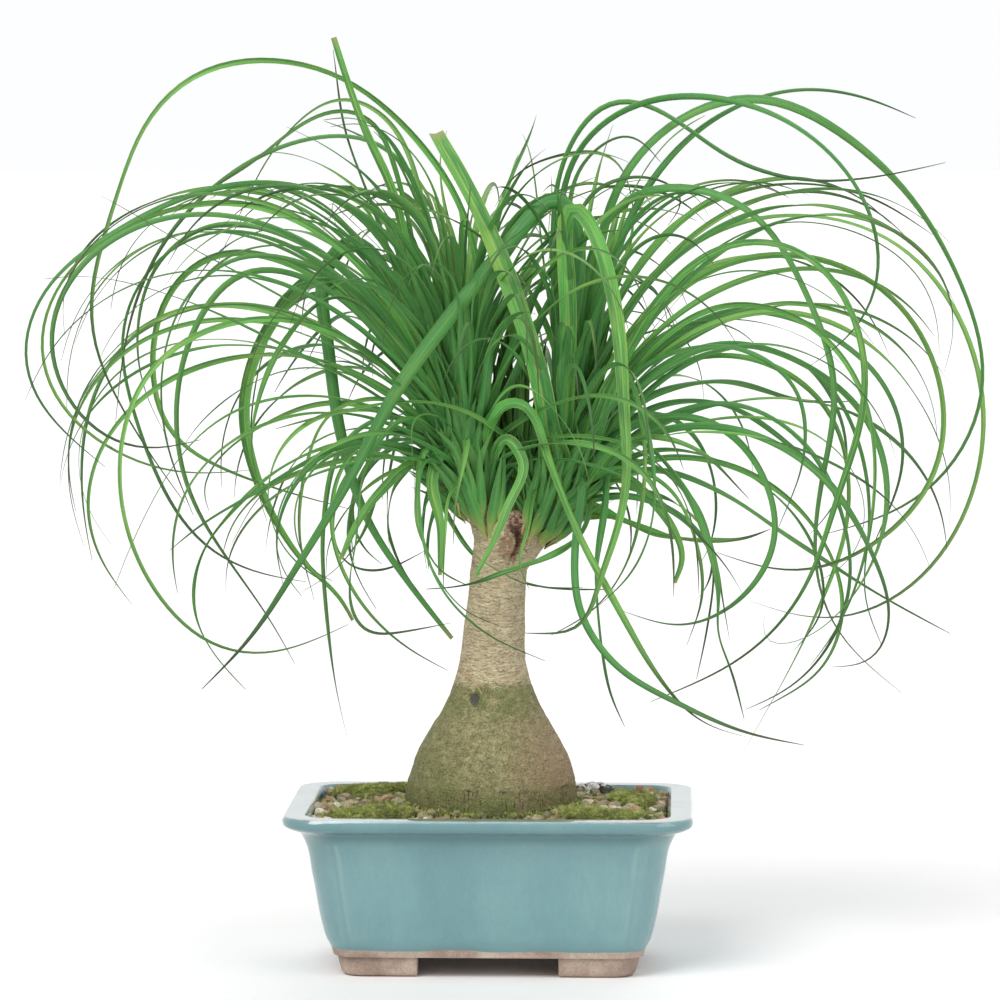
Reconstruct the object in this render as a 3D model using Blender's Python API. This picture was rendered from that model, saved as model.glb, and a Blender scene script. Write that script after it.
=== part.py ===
# Potted ponytail palm: a swollen trunk with two leafy heads in a small glazed bonsai pot.
# Lengths are in millimetres until a mesh is made, then in metres. +Z is up, the front faces -Y.

import itertools
import math
import random

import bmesh
import bpy
import numpy as np
from mathutils import Matrix, Vector

MM = 0.001

# pot, outside: half width, half depth, height and corner radius from the foot up to the rim
POT_OUTSIDE = [
    (77.0, 54.5, 10.0, 13.0),
    (78.2, 55.5, 13.6, 14.0),
    (80.6, 57.8, 18.4, 15.0),
    (83.0, 60.0, 27.0, 16.0),
    (87.0, 63.4, 49.0, 17.0),
    (91.0, 67.0, 68.0, 18.0),
    (93.4, 69.0, 72.4, 18.0),
    (98.6, 73.6, 74.6, 20.0),
    (101.0, 75.6, 76.4, 21.0),
    (101.5, 76.0, 78.8, 21.5),
    (100.4, 75.0, 80.8, 21.0),
]
# pot, inside: from the lip down to the floor
POT_INSIDE = [
    (90.4, 65.0, 80.8, 13.0),
    (89.0, 63.6, 79.0, 12.0),
    (88.0, 62.8, 74.0, 12.0),
    (84.2, 60.0, 62.0, 12.0),
    (75.0, 52.0, 20.0, 11.0),
    (72.0, 49.0, 16.0, 9.0),
]
CORNER_STEPS = 4
FOOT_OUT = (75.0, 52.4, 12.0)
FOOT_BOTTOM = (71.0, 48.6, 9.0)
FOOT_WALL = 9.0
FOOT_HEIGHT = 10.3
FOOT_LENGTH_X = 36.0
FOOT_LENGTH_Y = 27.0
DRAIN_X = 38.0
DRAIN_RADIUS = 6.5
SCREEN_SIZE = 24.0
SCREEN_THICK = 0.9
SCREEN_HOLES = 3
SCREEN_HOLE = 4.6
GAP = 0.3
WELD = 0.000002

# soil and the gritty top dressing on it
SOIL_TOP = 71.0
DRESSING_EDGE = 77.6
DRESSING_RISE = 4.2
PEBBLES = 40
PEBBLE_SEED = 12

# moss cushions: middle x and y, half length, half width, turn in degrees, height
MOSS = {
    "moss_front_left": (-58.0, -43.0, 22.0, 11.0, 10.0, 4.2),
    "moss_front_right": (59.0, -45.0, 24.0, 10.0, -6.0, 4.0),
    "moss_back_left": (-62.0, 34.0, 21.0, 13.0, -12.0, 5.2),
    "moss_right": (71.0, 6.0, 12.0, 17.0, 8.0, 4.4),
}
# moss rings from the sunk underside to the crest: share of the outline and share of the height
MOSS_RINGS = [(0.55, None), (1.0, None), (1.03, 0.45), (0.9, 0.85), (0.62, 1.0), (0.3, 0.95)]
MOSS_SIDES = 14
MOSS_SUNK = 2.6

# trunk: height, middle x, radius; it is swollen at the soil and leans a little to the right on top
TRUNK = [
    (44.0, -1.0, 27.0),
    (50.0, -1.0, 34.0),
    (62.0, -1.0, 40.5),
    (76.0, -1.0, 43.2),
    (88.0, -0.9, 43.0),
    (95.0, -0.4, 41.2),
    (104.0, -0.3, 38.4),
    (115.4, 0.0, 32.4),
    (124.0, 0.2, 27.2),
    (132.0, 0.3, 22.7),
    (143.6, 0.4, 18.6),
    (156.2, 0.6, 16.3),
    (173.3, 1.8, 15.1),
    (196.5, 3.6, 14.3),
    (211.0, 6.0, 15.0),
    (222.0, 8.0, 14.6),
    (227.5, 8.6, 11.6),
]
TRUNK_SIDES = 24
HOLLOW_DEPTH = 5.0

# heads: bottom and top of the leafy core, and its radii on the way up
HEADS = {
    "left_head": ((-8.5, 0.0, 231.5), (-15.0, 0.0, 292.0), (10.5, 14.5, 16.5, 14.5, 9.5, 4.0)),
    "right_head": ((27.5, 0.0, 218.5), (45.0, 0.0, 284.0), (10.0, 14.5, 17.0, 15.0, 10.0, 4.0)),
}
CORE_SIDES = 10
CORE_SWELL = 0.3
LEAF_SEED = 4
FREE_LEAVES = 50
CROWN_LOW = (-224.0, -118.0, 192.0)
CROWN_HIGH = (232.0, 118.0, 394.0)
LEAF_BEND = 1.7
BLADE_THICK = 0.9
RING_ERROR = 2.6
EYE = (95.0, -2598.0, 432.0)
GOLDEN_ANGLE = 137.508

# Leaves that show in the photo, each as: head, slope away from the viewer, bow away from the viewer,
# width at the foot, width at the tip, then x and z of points read along it from foot to tip.
SEEN_LEAVES = [
    ("left_head", 0.10, 15, 5.5, 0.9, [(-9, 258), (-4, 330), (-14, 382), (-40, 418), (-74, 447),
        (-113, 455), (-148, 449), (-174, 424), (-188, 381), (-202, 340), (-203, 314), (-186, 279),
        (-170, 252), (-154, 231)]),
    ("left_head", 0.12, -12, 5.0, 3.6, [(-14, 258), (-27, 305), (-41, 352), (-50, 388), (-63, 417),
        (-72, 442), (-79, 464)]),
    ("left_head", -0.20, 0, 4.5, 0.9, [(-15, 262), (-27, 335), (-35, 385), (-52, 425), (-75, 435.5),
        (-97, 422), (-113, 402), (-122, 385), (-128, 371)]),
    ("left_head", 0.25, 20, 4.5, 0.9, [(-13, 260), (-36, 345), (-48, 398), (-58, 424), (-73, 430),
        (-97, 420), (-118, 402), (-140, 389), (-160, 376)]),
    ("left_head", -0.10, 10, 5.0, 0.9, [(-14, 262), (-24, 330), (-36, 390), (-52, 413), (-77, 417),
        (-108, 410), (-136, 393), (-160, 369), (-176, 341), (-185, 308), (-189, 270)]),
    ("left_head", 0.20, 10, 5.5, 0.9, [(-14, 258), (-38, 335), (-72, 382), (-112, 393), (-152, 386),
        (-190, 367), (-219, 347), (-236, 315), (-234, 290), (-216, 267), (-194, 249)]),
    ("left_head", -0.15, 0, 5.5, 0.9, [(-15, 256), (-45, 325), (-85, 368), (-130, 384), (-175, 375),
        (-208, 355), (-226, 328), (-229, 303), (-216, 276), (-190, 256), (-160, 245), (-118, 248)]),
    ("left_head", 0.30, 0, 6.0, 0.9, [(-15, 254), (-48, 320), (-90, 362), (-140, 378), (-182, 370),
        (-213, 344), (-223.5, 315), (-213, 281), (-190, 260), (-163, 257), (-146, 263)]),
    ("left_head", -0.30, 0, 6.0, 0.9, [(-16, 254), (-50, 318), (-95, 358), (-140, 369), (-172, 350),
        (-187, 312), (-180, 280), (-168, 244), (-148, 211), (-122, 196), (-93, 191.5)]),
    ("left_head", -0.45, 0, 6.5, 0.9, [(-16, 252), (-48, 308), (-95, 350), (-140, 358), (-165, 335),
        (-171, 299), (-163, 265), (-136, 249), (-100, 236), (-70, 228)]),
    ("left_head", 0.05, 0, 5.5, 0.9, [(-16, 250), (-45, 302), (-90, 344), (-125, 350), (-148, 323),
        (-159, 282), (-153, 237), (-130, 199), (-110, 171), (-99, 150)]),
    ("left_head", -0.05, 0, 5.5, 0.9, [(-18, 248), (-48, 286), (-90, 305), (-135, 304), (-172, 287),
        (-196, 260), (-204, 230), (-198, 203), (-181, 179.5)]),
    ("left_head", 0.40, 0, 5.0, 0.9, [(-18, 250), (-48, 297), (-95, 324), (-138, 321), (-172, 300),
        (-187, 262), (-185, 220), (-165, 179), (-140, 157), (-112, 153.5), (-72, 170)]),
    ("left_head", -0.50, 0, 5.0, 0.9, [(-19, 250), (-48, 275), (-82, 282), (-118, 269), (-141, 249),
        (-146, 235), (-142, 227)]),
    ("left_head", 0.50, 0, 4.5, 0.9, [(-20, 246), (-48, 262), (-80, 258), (-112, 240), (-145, 221),
        (-162, 207)]),
    ("left_head", 0.15, 0, 4.5, 0.9, [(-20, 244), (-55, 263), (-92, 256), (-128, 230), (-148, 203),
        (-149, 172), (-137, 151), (-124, 137)]),
    ("left_head", -0.30, 0, 4.0, 0.9, [(-20, 242), (-55, 256), (-95, 251), (-118, 233),
        (-131, 210)]),
    ("left_head", -0.35, 0, 7.0, 2.6, [(-14, 262), (-42, 328), (-72, 364), (-84, 348), (-82, 310),
        (-76, 265), (-63, 223), (-42, 191), (-20, 163)]),
    ("left_head", -0.20, 0, 7.0, 2.2, [(-16, 260), (-48, 318), (-88, 346), (-113, 318),
        (-124.5, 280), (-118, 242), (-96, 202), (-73, 179), (-70, 172)]),
    ("left_head", 0.35, 0, 7.0, 1.2, [(-16, 256), (-44, 308), (-78, 338), (-105, 312), (-118, 278),
        (-121, 256), (-113, 230)]),
    ("left_head", -0.60, 0, 4.5, 0.9, [(-18, 248), (-46, 264), (-70, 249), (-80, 220), (-74, 201),
        (-56, 197), (-34, 207)]),
    ("left_head", 0.60, 0, 5.0, 2.6, [(-18, 244), (-38, 252), (-57, 236), (-70, 216), (-76, 203)]),
    ("left_head", 0.0, -28, 6.0, 2.4, [(-14, 243), (-25, 258), (-30, 244), (-26, 220), (-26, 195)]),
    ("left_head", 0.0, -36, 5.0, 0.9, [(-16, 242), (-32, 262), (-37, 240), (-35, 213), (-26, 197),
        (-12, 190)]),
    ("left_head", 0.0, -44, 5.0, 1.8, [(-4, 243), (8, 264), (16, 252), (8, 229), (-1, 208),
        (-9, 193)]),
    ("left_head", 0.0, -62, 7.0, 0.9, [(-4, 254), (5, 283), (15, 285), (28, 256), (43, 218),
        (64, 178), (84, 144), (107, 120), (128, 114)]),
    ("left_head", 0.0, 40, 4.5, 0.8, [(-18, 250), (-48, 277), (-74, 263), (-84, 225), (-83, 175),
        (-78, 135), (-72.5, 112)]),
    ("left_head", 0.0, 28, 4.0, 0.8, [(-18, 252), (-50, 284), (-80, 277), (-94, 245), (-97, 218),
        (-89, 182)]),
    ("left_head", 0.0, -18, 4.0, 0.8, [(-16, 246), (-45, 270), (-73, 253), (-80, 213), (-66, 181),
        (-42, 158), (-22, 147)]),
    ("left_head", 0.0, -50, 4.0, 0.8, [(-14, 242), (-32, 256), (-36, 222), (-23, 185), (-2, 165),
        (27, 152)]),
    ("left_head", 0.0, 46, 4.0, 0.8, [(-12, 242), (-28, 248), (-21, 223), (-4, 201), (18, 190.5),
        (62, 188)]),
    ("left_head", 0.30, 0, 4.5, 0.8, [(-16, 250), (-42, 276), (-62, 255), (-68, 212), (-72, 180),
        (-65, 165.5), (-44, 166.5), (-20, 171)]),
    ("right_head", 0.0, -22, 9.0, 6.6, [(31, 250), (25, 290), (13, 332), (-5, 375), (-28, 416)]),
    ("right_head", 0.0, -46, 8.0, 0.9, [(34, 252), (37, 310), (42, 366), (34, 389), (15, 369),
        (-14, 334), (-47, 289), (-72, 241), (-97, 200), (-122, 162), (-146, 137)]),
    ("right_head", 0.0, -54, 7.5, 0.9, [(37, 250), (39, 320), (41, 384), (50, 370), (62, 330),
        (66, 285), (67, 235), (54, 192), (45, 168), (17, 166)]),
    ("right_head", 0.0, -40, 6.0, 0.9, [(34, 236), (46, 240), (46, 219), (30, 205), (5, 196),
        (-15, 190), (-33, 188)]),
    ("right_head", 0.0, -32, 3.5, 0.9, [(31, 238), (25, 240), (18, 216), (14, 201), (19, 188)]),
    ("right_head", 0.10, 0, 7.0, 0.9, [(40, 232), (60, 224), (80, 217.5), (105, 213.5),
        (126, 213.5), (140, 219)]),
    ("right_head", -0.40, 0, 5.5, 0.9, [(38, 230), (66, 236), (95, 225), (112, 203), (115.5, 184),
        (119.5, 163)]),
    ("right_head", -0.60, 0, 7.0, 0.9, [(38, 234), (70, 265), (95, 241), (111, 205), (114, 182),
        (112, 168), (120, 149), (127, 123)]),
    ("right_head", 0.0, -46, 6.0, 0.8, [(38, 240), (56, 264), (57, 235), (53, 197), (56, 158),
        (60, 134), (67, 119)]),
    ("right_head", 0.0, -64, 6.5, 0.8, [(37, 240), (47, 250), (42, 212), (44, 176), (62, 149.5),
        (95, 130.5), (130, 115.5), (157, 110)]),
    ("right_head", -0.10, 0, 5.0, 2.4, [(40, 236), (66, 244), (86, 226), (95.5, 202), (92, 191.5)]),
    ("right_head", -0.25, 0, 6.0, 0.8, [(44, 250), (80, 275), (115, 271), (138, 243), (143, 214),
        (126, 184), (96, 169.5), (64, 178)]),
    ("right_head", 0.10, 0, 7.5, 0.9, [(42, 262), (50, 330), (63, 396), (96, 428), (134, 438),
        (175, 417), (209, 386), (236, 337), (248, 297), (238, 260), (211, 230), (166, 216)]),
    ("right_head", 0.20, 0, 6.5, 0.8, [(44, 258), (56, 328), (74, 384), (108, 423), (150, 439),
        (185, 435), (211, 424)]),
    ("right_head", -0.05, 0, 5.0, 0.8, [(36, 258), (31, 340), (39, 411), (60, 436), (88, 427),
        (118, 404), (157, 392), (195, 395), (226, 402)]),
    ("right_head", -0.15, 0, 6.0, 0.8, [(37, 256), (33, 350), (43, 411), (72, 432), (110, 435.5),
        (150, 423), (183, 392), (195.5, 354), (184, 318), (159, 300.5)]),
    ("right_head", 0.0, -10, 5.0, 0.8, [(37, 254), (37, 350), (48, 405), (70, 417), (84.5, 402)]),
    ("right_head", 0.0, 16, 4.5, 0.8, [(44, 256), (60, 330), (70.5, 384), (62, 405), (34, 406),
        (8, 393), (2, 380)]),
    ("right_head", 0.0, -20, 4.5, 0.8, [(40, 254), (38, 345), (52, 389), (78, 395.5), (98, 384),
        (88, 370.5)]),
    ("right_head", -0.30, 0, 6.5, 0.8, [(42, 256), (45, 335), (64, 386), (100, 391.5), (134, 378),
        (156, 340), (174, 290), (165, 243), (161, 200), (170, 169), (206, 136.5)]),
    ("right_head", 0.45, 0, 5.0, 0.8, [(44, 254), (62, 335), (100, 378), (150, 392.5), (190, 385),
        (220, 366)]),
    ("right_head", 0.30, 0, 5.5, 0.8, [(46, 252), (66, 330), (110, 369), (155, 377), (200, 365),
        (232, 330), (247.5, 280), (240, 230), (211, 188), (165, 171), (130, 182.5)]),
    ("right_head", -0.10, 0, 6.5, 0.8, [(46, 250), (70, 315), (115, 353), (160, 357), (200, 338),
        (226, 292), (225, 250), (190, 209), (150, 195.5), (113, 207)]),
    ("right_head", -0.45, 0, 7.0, 0.8, [(46, 248), (72, 318), (118, 363), (155, 360), (182, 326),
        (188, 284), (172, 232), (160, 190), (130, 155), (80, 131.5)]),
    ("right_head", 0.20, 10, 6.0, 0.8, [(46, 246), (75, 301), (120, 329), (168, 317.5), (200, 287),
        (207, 255), (190, 208)]),
    ("right_head", -0.20, 0, 6.5, 0.8, [(46, 244), (75, 293), (115, 313), (158, 301), (191, 271),
        (199.5, 232), (185, 188.5), (150, 159), (130, 159), (137, 175)]),
    ("right_head", 0.55, 0, 6.0, 0.8, [(46, 242), (75, 283), (115, 293.5), (155, 283), (183, 283)]),
    ("right_head", -0.35, 0, 6.0, 0.8, [(46, 240), (78, 266), (118, 270), (160, 251), (190, 208),
        (200, 172), (191, 151), (171, 149.5)]),
    ("right_head", 0.40, 0, 5.5, 0.8, [(46, 243), (78, 279), (112, 282), (152, 259), (178, 232),
        (187, 212)]),
    ("right_head", -0.60, 0, 5.0, 0.8, [(44, 238), (74, 265), (104, 258), (129, 234)]),
    ("right_head", 0.10, 0, 5.0, 0.8, [(42, 236), (78, 254), (125, 249), (160, 223.5), (177, 180),
        (167, 149), (134.5, 127.5)]),
    ("right_head", 0.60, 0, 5.0, 0.8, [(42, 234), (78, 249), (115, 238), (150, 214.5), (190, 188),
        (230, 166.5)]),
    ("right_head", -0.50, 0, 5.0, 0.8, [(44, 246), (78, 302), (120, 311), (153, 289), (157, 255),
        (144, 220)]),
    ("right_head", 0.30, 0, 5.0, 0.8, [(46, 247), (78, 296), (128, 306), (170, 279), (180, 232),
        (160, 170), (127, 107)]),
    ("right_head", 0.50, 0, 4.0, 0.8, [(40, 240), (72, 255), (100, 235), (112, 200), (109, 172),
        (103, 143)]),
    ("right_head", 0.0, -34, 4.0, 0.8, [(40, 250), (66, 304), (76, 270), (76, 235), (68, 200),
        (50, 176), (30, 165)]),
    ("right_head", -0.30, -20, 4.5, 0.8, [(40, 246), (70, 288), (81, 250), (80, 220), (70, 196),
        (54, 180)]),
]


def material(name, colour, roughness, coat=0.0, metallic=0.0):
    made = bpy.data.materials.new(name)
    made.use_nodes = True
    shader = made.node_tree.nodes["Principled BSDF"]
    shader.inputs["Base Color"].default_value = (*colour, 1.0)
    shader.inputs["Roughness"].default_value = roughness
    shader.inputs["Coat Weight"].default_value = coat
    shader.inputs["Metallic"].default_value = metallic
    return made


def add_object(name, points, faces, made_of=None):
    mesh = bpy.data.meshes.new(name)
    mesh.from_pydata([tuple(c * MM for c in point) for point in points], [], faces)
    mesh.validate()
    part = bpy.data.objects.new(name, mesh)
    bpy.context.scene.collection.objects.link(part)
    if made_of is not None:
        mesh.materials.append(made_of)
    tidy_normals(mesh)
    return part


def tidy_normals(mesh):
    work = bmesh.new()
    work.from_mesh(mesh)
    bmesh.ops.recalc_face_normals(work, faces=work.faces)
    if work.calc_volume(signed=True) < 0.0:
        bmesh.ops.reverse_faces(work, faces=work.faces)
    work.to_mesh(mesh)
    work.free()


def smooth(part, angle=40.0):
    part.data.shade_smooth()
    part.data.set_sharp_from_angle(angle=math.radians(angle))


def boolean(part, other, operation, solver="EXACT"):
    change = part.modifiers.new(operation.lower(), "BOOLEAN")
    change.operation = operation
    change.solver = solver
    if isinstance(other, bpy.types.Collection):
        change.operand_type = "COLLECTION"
        change.collection = other
        pieces = list(other.objects)
    else:
        change.object = other
        pieces = [other]
    bpy.context.view_layer.update()
    deps = bpy.context.evaluated_depsgraph_get()
    result = bpy.data.meshes.new_from_object(part.evaluated_get(deps))
    part.modifiers.remove(change)
    old = part.data
    part.data = result
    result.name = part.name
    bpy.data.meshes.remove(old)
    for piece in pieces:
        bpy.data.objects.remove(piece)
    if isinstance(other, bpy.types.Collection):
        bpy.data.collections.remove(other)


def rounded_loop(half_x, half_y, z, radius, steps=CORNER_STEPS):
    points = []
    for quarter, (sign_x, sign_y) in enumerate([(1, 1), (-1, 1), (-1, -1), (1, -1)]):
        middle_x = sign_x * (half_x - radius)
        middle_y = sign_y * (half_y - radius)
        for step in range(steps + 1):
            turn = math.radians(90.0 * quarter + 90.0 * step / steps)
            points.append((middle_x + radius * math.cos(turn), middle_y + radius * math.sin(turn), z))
    return points


def skin(loops, close_start=True, close_end=True):
    count = len(loops[0])
    points = [point for loop in loops for point in loop]
    faces = []
    for row in range(len(loops) - 1):
        for i in range(count):
            j = (i + 1) % count
            faces.append((row * count + i, row * count + j, (row + 1) * count + j, (row + 1) * count + i))
    if close_start:
        faces.append(tuple(range(count))[::-1])
    if close_end:
        last = (len(loops) - 1) * count
        faces.append(tuple(range(last, last + count)))
    return points, faces


def box(name, low, high):
    loop = [(low[0], low[1]), (high[0], low[1]), (high[0], high[1]), (low[0], high[1])]
    loops = [[(x, y, z) for x, y in loop] for z in (low[2], high[2])]
    return add_object(name, *skin(loops))


def cylinder(name, middle, radius, low, high, sides):
    turns = [math.tau * i / sides for i in range(sides)]
    ring = [(middle[0] + radius * math.cos(turn), middle[1] + radius * math.sin(turn)) for turn in turns]
    return add_object(name, *skin([[(x, y, low) for x, y in ring], [(x, y, high) for x, y in ring]]))


def inside_at(z, shrink):
    levels = sorted(POT_INSIDE, key=lambda row: row[2])
    heights = [row[2] for row in levels]
    half_x, half_y, radius = (float(np.interp(z, heights, [row[i] for row in levels])) for i in (0, 1, 3))
    return rounded_loop(half_x - shrink, half_y - shrink, z, radius - shrink)


def build_pot(glaze):
    loops = [rounded_loop(*row) for row in POT_OUTSIDE + POT_INSIDE]
    pot = add_object("pot", *skin(loops), glaze)

    out_x, out_y, out_radius = FOOT_OUT
    low_x, low_y, low_radius = FOOT_BOTTOM
    foot = add_object("foot", *skin([
        rounded_loop(low_x, low_y, 0.0, low_radius),
        rounded_loop(low_x + 2.4, low_y + 2.4, 2.0, low_radius + 2.4),
        rounded_loop(out_x, out_y, 8.8, out_radius),
        rounded_loop(out_x, out_y, FOOT_HEIGHT, out_radius),
    ]))
    hollow = add_object("foot_hollow", *skin([
        rounded_loop(low_x - FOOT_WALL, low_y - FOOT_WALL, -2.0, 5.0),
        rounded_loop(low_x - FOOT_WALL, low_y - FOOT_WALL, FOOT_HEIGHT + 2.0, 5.0),
    ]))
    boolean(foot, hollow, "DIFFERENCE")
    across = low_x - FOOT_LENGTH_X
    along = low_y - FOOT_LENGTH_Y
    over = FOOT_HEIGHT + 2.0
    boolean(foot, box("gap_front", (-across, -200.0, -2.0), (across, 200.0, over)), "DIFFERENCE")
    boolean(foot, box("gap_side", (-200.0, -along, -2.0), (200.0, along, over)), "DIFFERENCE")
    boolean(pot, foot, "UNION")
    for side in (-1, 1):
        hole = cylinder("drain_hole", (side * DRAIN_X, 0.0), DRAIN_RADIUS, 4.0, 22.0, 16)
        boolean(pot, hole, "DIFFERENCE")
    smooth(pot, 32.0)
    return pot


def build_screen(name, x, plastic):
    half = SCREEN_SIZE / 2
    bottom = POT_INSIDE[-1][2] + GAP
    screen = box(name, (x - half, -half, bottom), (x + half, half, bottom + SCREEN_THICK))
    screen.data.materials.append(plastic)
    pitch = SCREEN_SIZE / SCREEN_HOLES
    cutters = bpy.data.collections.new("screen_holes")
    bpy.context.scene.collection.children.link(cutters)
    for row in range(SCREEN_HOLES):
        for column in range(SCREEN_HOLES):
            middle_x = x + (column - (SCREEN_HOLES - 1) / 2) * pitch * 0.92
            middle_y = (row - (SCREEN_HOLES - 1) / 2) * pitch * 0.92
            reach = SCREEN_HOLE / 2
            hole = box("screen_hole", (middle_x - reach, middle_y - reach, bottom - 2.0),
                       (middle_x + reach, middle_y + reach, bottom + SCREEN_THICK + 2.0))
            cutters.objects.link(hole)
            bpy.context.scene.collection.objects.unlink(hole)
    boolean(screen, cutters, "DIFFERENCE")
    return screen


def trunk_loop(z, middle, radius, grow=0.0):
    # slightly out of round, more so at the swollen foot
    points = []
    for i in range(TRUNK_SIDES):
        turn = math.tau * i / TRUNK_SIDES
        uneven = 0.012 * math.sin(3 * turn + 0.4) + 0.010 * math.sin(5 * turn + 1.9)
        reach = radius * (1.0 + uneven * min(1.0, radius / 30.0)) + grow
        points.append((middle + reach * math.cos(turn), reach * math.sin(turn), z))
    return points


def branch(name, start, end, facing, radii, sides):
    # a short stump whose last ring is flat and looks along "facing"
    start = Vector(start)
    end = Vector(end)
    facing = Vector(facing).normalized()
    loops = []
    for step, radius in enumerate(radii):
        share = step / (len(radii) - 1)
        middle = start.lerp(end, share)
        along = (end - start).normalized().lerp(facing, share).normalized()
        loops.append(ring_around(middle, along, radius, sides))
    return add_object(name, *skin(loops))


def ring_around(middle, along, radius, sides):
    across = along.cross(Vector((0.0, 1.0, 0.0))).normalized()
    other = along.cross(across)
    ring = []
    for i in range(sides):
        turn = math.tau * i / sides
        ring.append(tuple(middle + across * radius * math.cos(turn) + other * radius * math.sin(turn)))
    return ring


def core_skin(head, grow=0.0):
    # the core of a head, or the room it takes when it is grown on every side
    bottom, top, radii = HEADS[head]
    bottom, top = Vector(bottom), Vector(top)
    axis = (top - bottom).normalized()
    loops = []
    for step, radius in enumerate(radii):
        middle = bottom.lerp(top, step / (len(radii) - 1))
        if step == 0:
            middle = middle - axis * grow
        loops.append(ring_around(middle, axis, radius + CORE_SWELL + grow, CORE_SIDES))
    return skin(loops)


def build_trunk(bark):
    loops = [trunk_loop(*row) for row in TRUNK]
    trunk = add_object("trunk", *skin(loops), bark)
    for name, start, reach in (("left_stump", (1.0, 0.0, 214.0), (11.5, 11.5, 10.5)),
                               ("right_stump", (12.0, 0.0, 206.0), (10.5, 11.0, 10.0))):
        head = "left_head" if name == "left_stump" else "right_head"
        bottom = Vector(HEADS[head][0])
        axis = (Vector(HEADS[head][1]) - bottom).normalized()
        stump = branch(name, start, bottom + axis * 0.5, axis, reach, 12)
        boolean(trunk, stump, "UNION")
    # hollow left by a rotted side shoot, on the front right under the cut top
    hollow = add_object("hollow", *skin([
        ring_around(Vector((12.6, -26.0, 211.0)), Vector((0.0, 1.0, 0.0001)), 6.2, 10),
        ring_around(Vector((12.6, -13.5, 211.5)), Vector((0.0, 1.0, 0.0001)), 5.0, 10),
        ring_around(Vector((12.6, -13.5 + HOLLOW_DEPTH, 212.0)), Vector((0.0, 1.0, 0.0001)), 2.6, 10),
    ]))
    boolean(trunk, hollow, "DIFFERENCE")
    for head in HEADS:
        boolean(trunk, add_object("head_room", *core_skin(head, GAP)), "DIFFERENCE")
    smooth(trunk, 45.0)
    return trunk


def trunk_plug(name, low, high, grow):
    rows = [row for row in TRUNK if row[0] < high]
    loops = [trunk_loop(low, TRUNK[0][1], TRUNK[0][2], grow)] if low < TRUNK[0][0] else []
    heights = [row[0] for row in TRUNK]
    loops += [trunk_loop(*row, grow) for row in rows]
    middle = float(np.interp(high, heights, [row[1] for row in TRUNK]))
    radius = float(np.interp(high, heights, [row[2] for row in TRUNK]))
    loops.append(trunk_loop(high, middle, radius, grow))
    return add_object(name, *skin(loops))


def build_soil(earth):
    heights = [POT_INSIDE[-1][2] + GAP + SCREEN_THICK + GAP, 21.0, 62.0, SOIL_TOP]
    soil = add_object("soil", *skin([inside_at(z, GAP) for z in heights]), earth)
    boolean(soil, trunk_plug("trunk_room", TRUNK[0][0] - GAP, 90.0, GAP + 0.1), "DIFFERENCE")
    smooth(soil, 35.0)
    return soil


def dressing_height(x, y):
    # highest beside the trunk, level with the lip at the edge, softly uneven
    reach = math.hypot(x / 88.0, y / 62.0)
    mound = DRESSING_RISE * max(0.0, 1.0 - reach) ** 0.8
    wave = 0.45 * math.sin(x / 11.0 + 0.6) * math.cos(y / 9.0) + 0.25 * math.sin(x / 5.0 + y / 7.0)
    return DRESSING_EDGE + mound * 1.6 + wave * min(1.0, 3.0 * max(0.0, 1.0 - reach))


def build_dressing(grit):
    low = SOIL_TOP + GAP
    edge = inside_at(75.0, GAP + 0.2)
    floor = inside_at(low, GAP + 0.1)
    loops = [[(x * share, y * share, low) for x, y, _ in floor] for share in (0.42, 1.0)]
    for share in (1.0, 0.97, 0.86, 0.72, 0.58, 0.42):
        z_drop = 0.0 if share < 1.0 else 0.8
        loops.append([(x * share, y * share, dressing_height(x * share, y * share) - z_drop)
                      for x, y, _ in edge])
    points, faces = skin(loops)
    dressing = add_object("top_dressing", points, faces, grit)
    rng = random.Random(PEBBLE_SEED)
    stones = bpy.data.collections.new("stones")
    bpy.context.scene.collection.children.link(stones)
    placed = []
    tries = 0
    while len(placed) < PEBBLES and tries < 4000:
        tries += 1
        x = rng.uniform(-84.0, 84.0)
        y = rng.uniform(-59.0, 59.0)
        size = rng.uniform(2.2, 3.9)
        crowded = any(math.hypot(x - a, y - b) < size + s + 0.5 for a, b, s in placed)
        if crowded or not on_open_grit(x, y, size):
            continue
        placed.append((x, y, size))
        stones.objects.link(pebble(rng, x, y, size))
    for stone in stones.objects:
        bpy.context.scene.collection.objects.unlink(stone)
    boolean(dressing, stones, "UNION", "MANIFOLD")
    boolean(dressing, trunk_plug("trunk_room", 40.0, 95.0, GAP + 0.1), "DIFFERENCE", "MANIFOLD")
    clean_union(dressing)
    return dressing


def on_open_grit(x, y, size):
    half_x, half_y = 88.0 - size - 1.6, 62.8 - size - 1.6
    if abs(x) > half_x or abs(y) > half_y:
        return False
    past_x = max(0.0, abs(x) - half_x + 10.0)
    past_y = max(0.0, abs(y) - half_y + 10.0)
    if math.hypot(past_x, past_y) > 10.0:
        return False
    if math.hypot(x + 1.0, y) < 43.5 + size + 1.0:
        return False
    for middle_x, middle_y, half_long, half_wide, turn, _ in MOSS.values():
        along, across = turned(x - middle_x, y - middle_y, -turn)
        if math.hypot(along / (half_long + size + 1.5), across / (half_wide + size + 1.5)) < 1.0:
            return False
    return True


def turned(x, y, degrees):
    c, s = math.cos(math.radians(degrees)), math.sin(math.radians(degrees))
    return x * c - y * s, x * s + y * c


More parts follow.
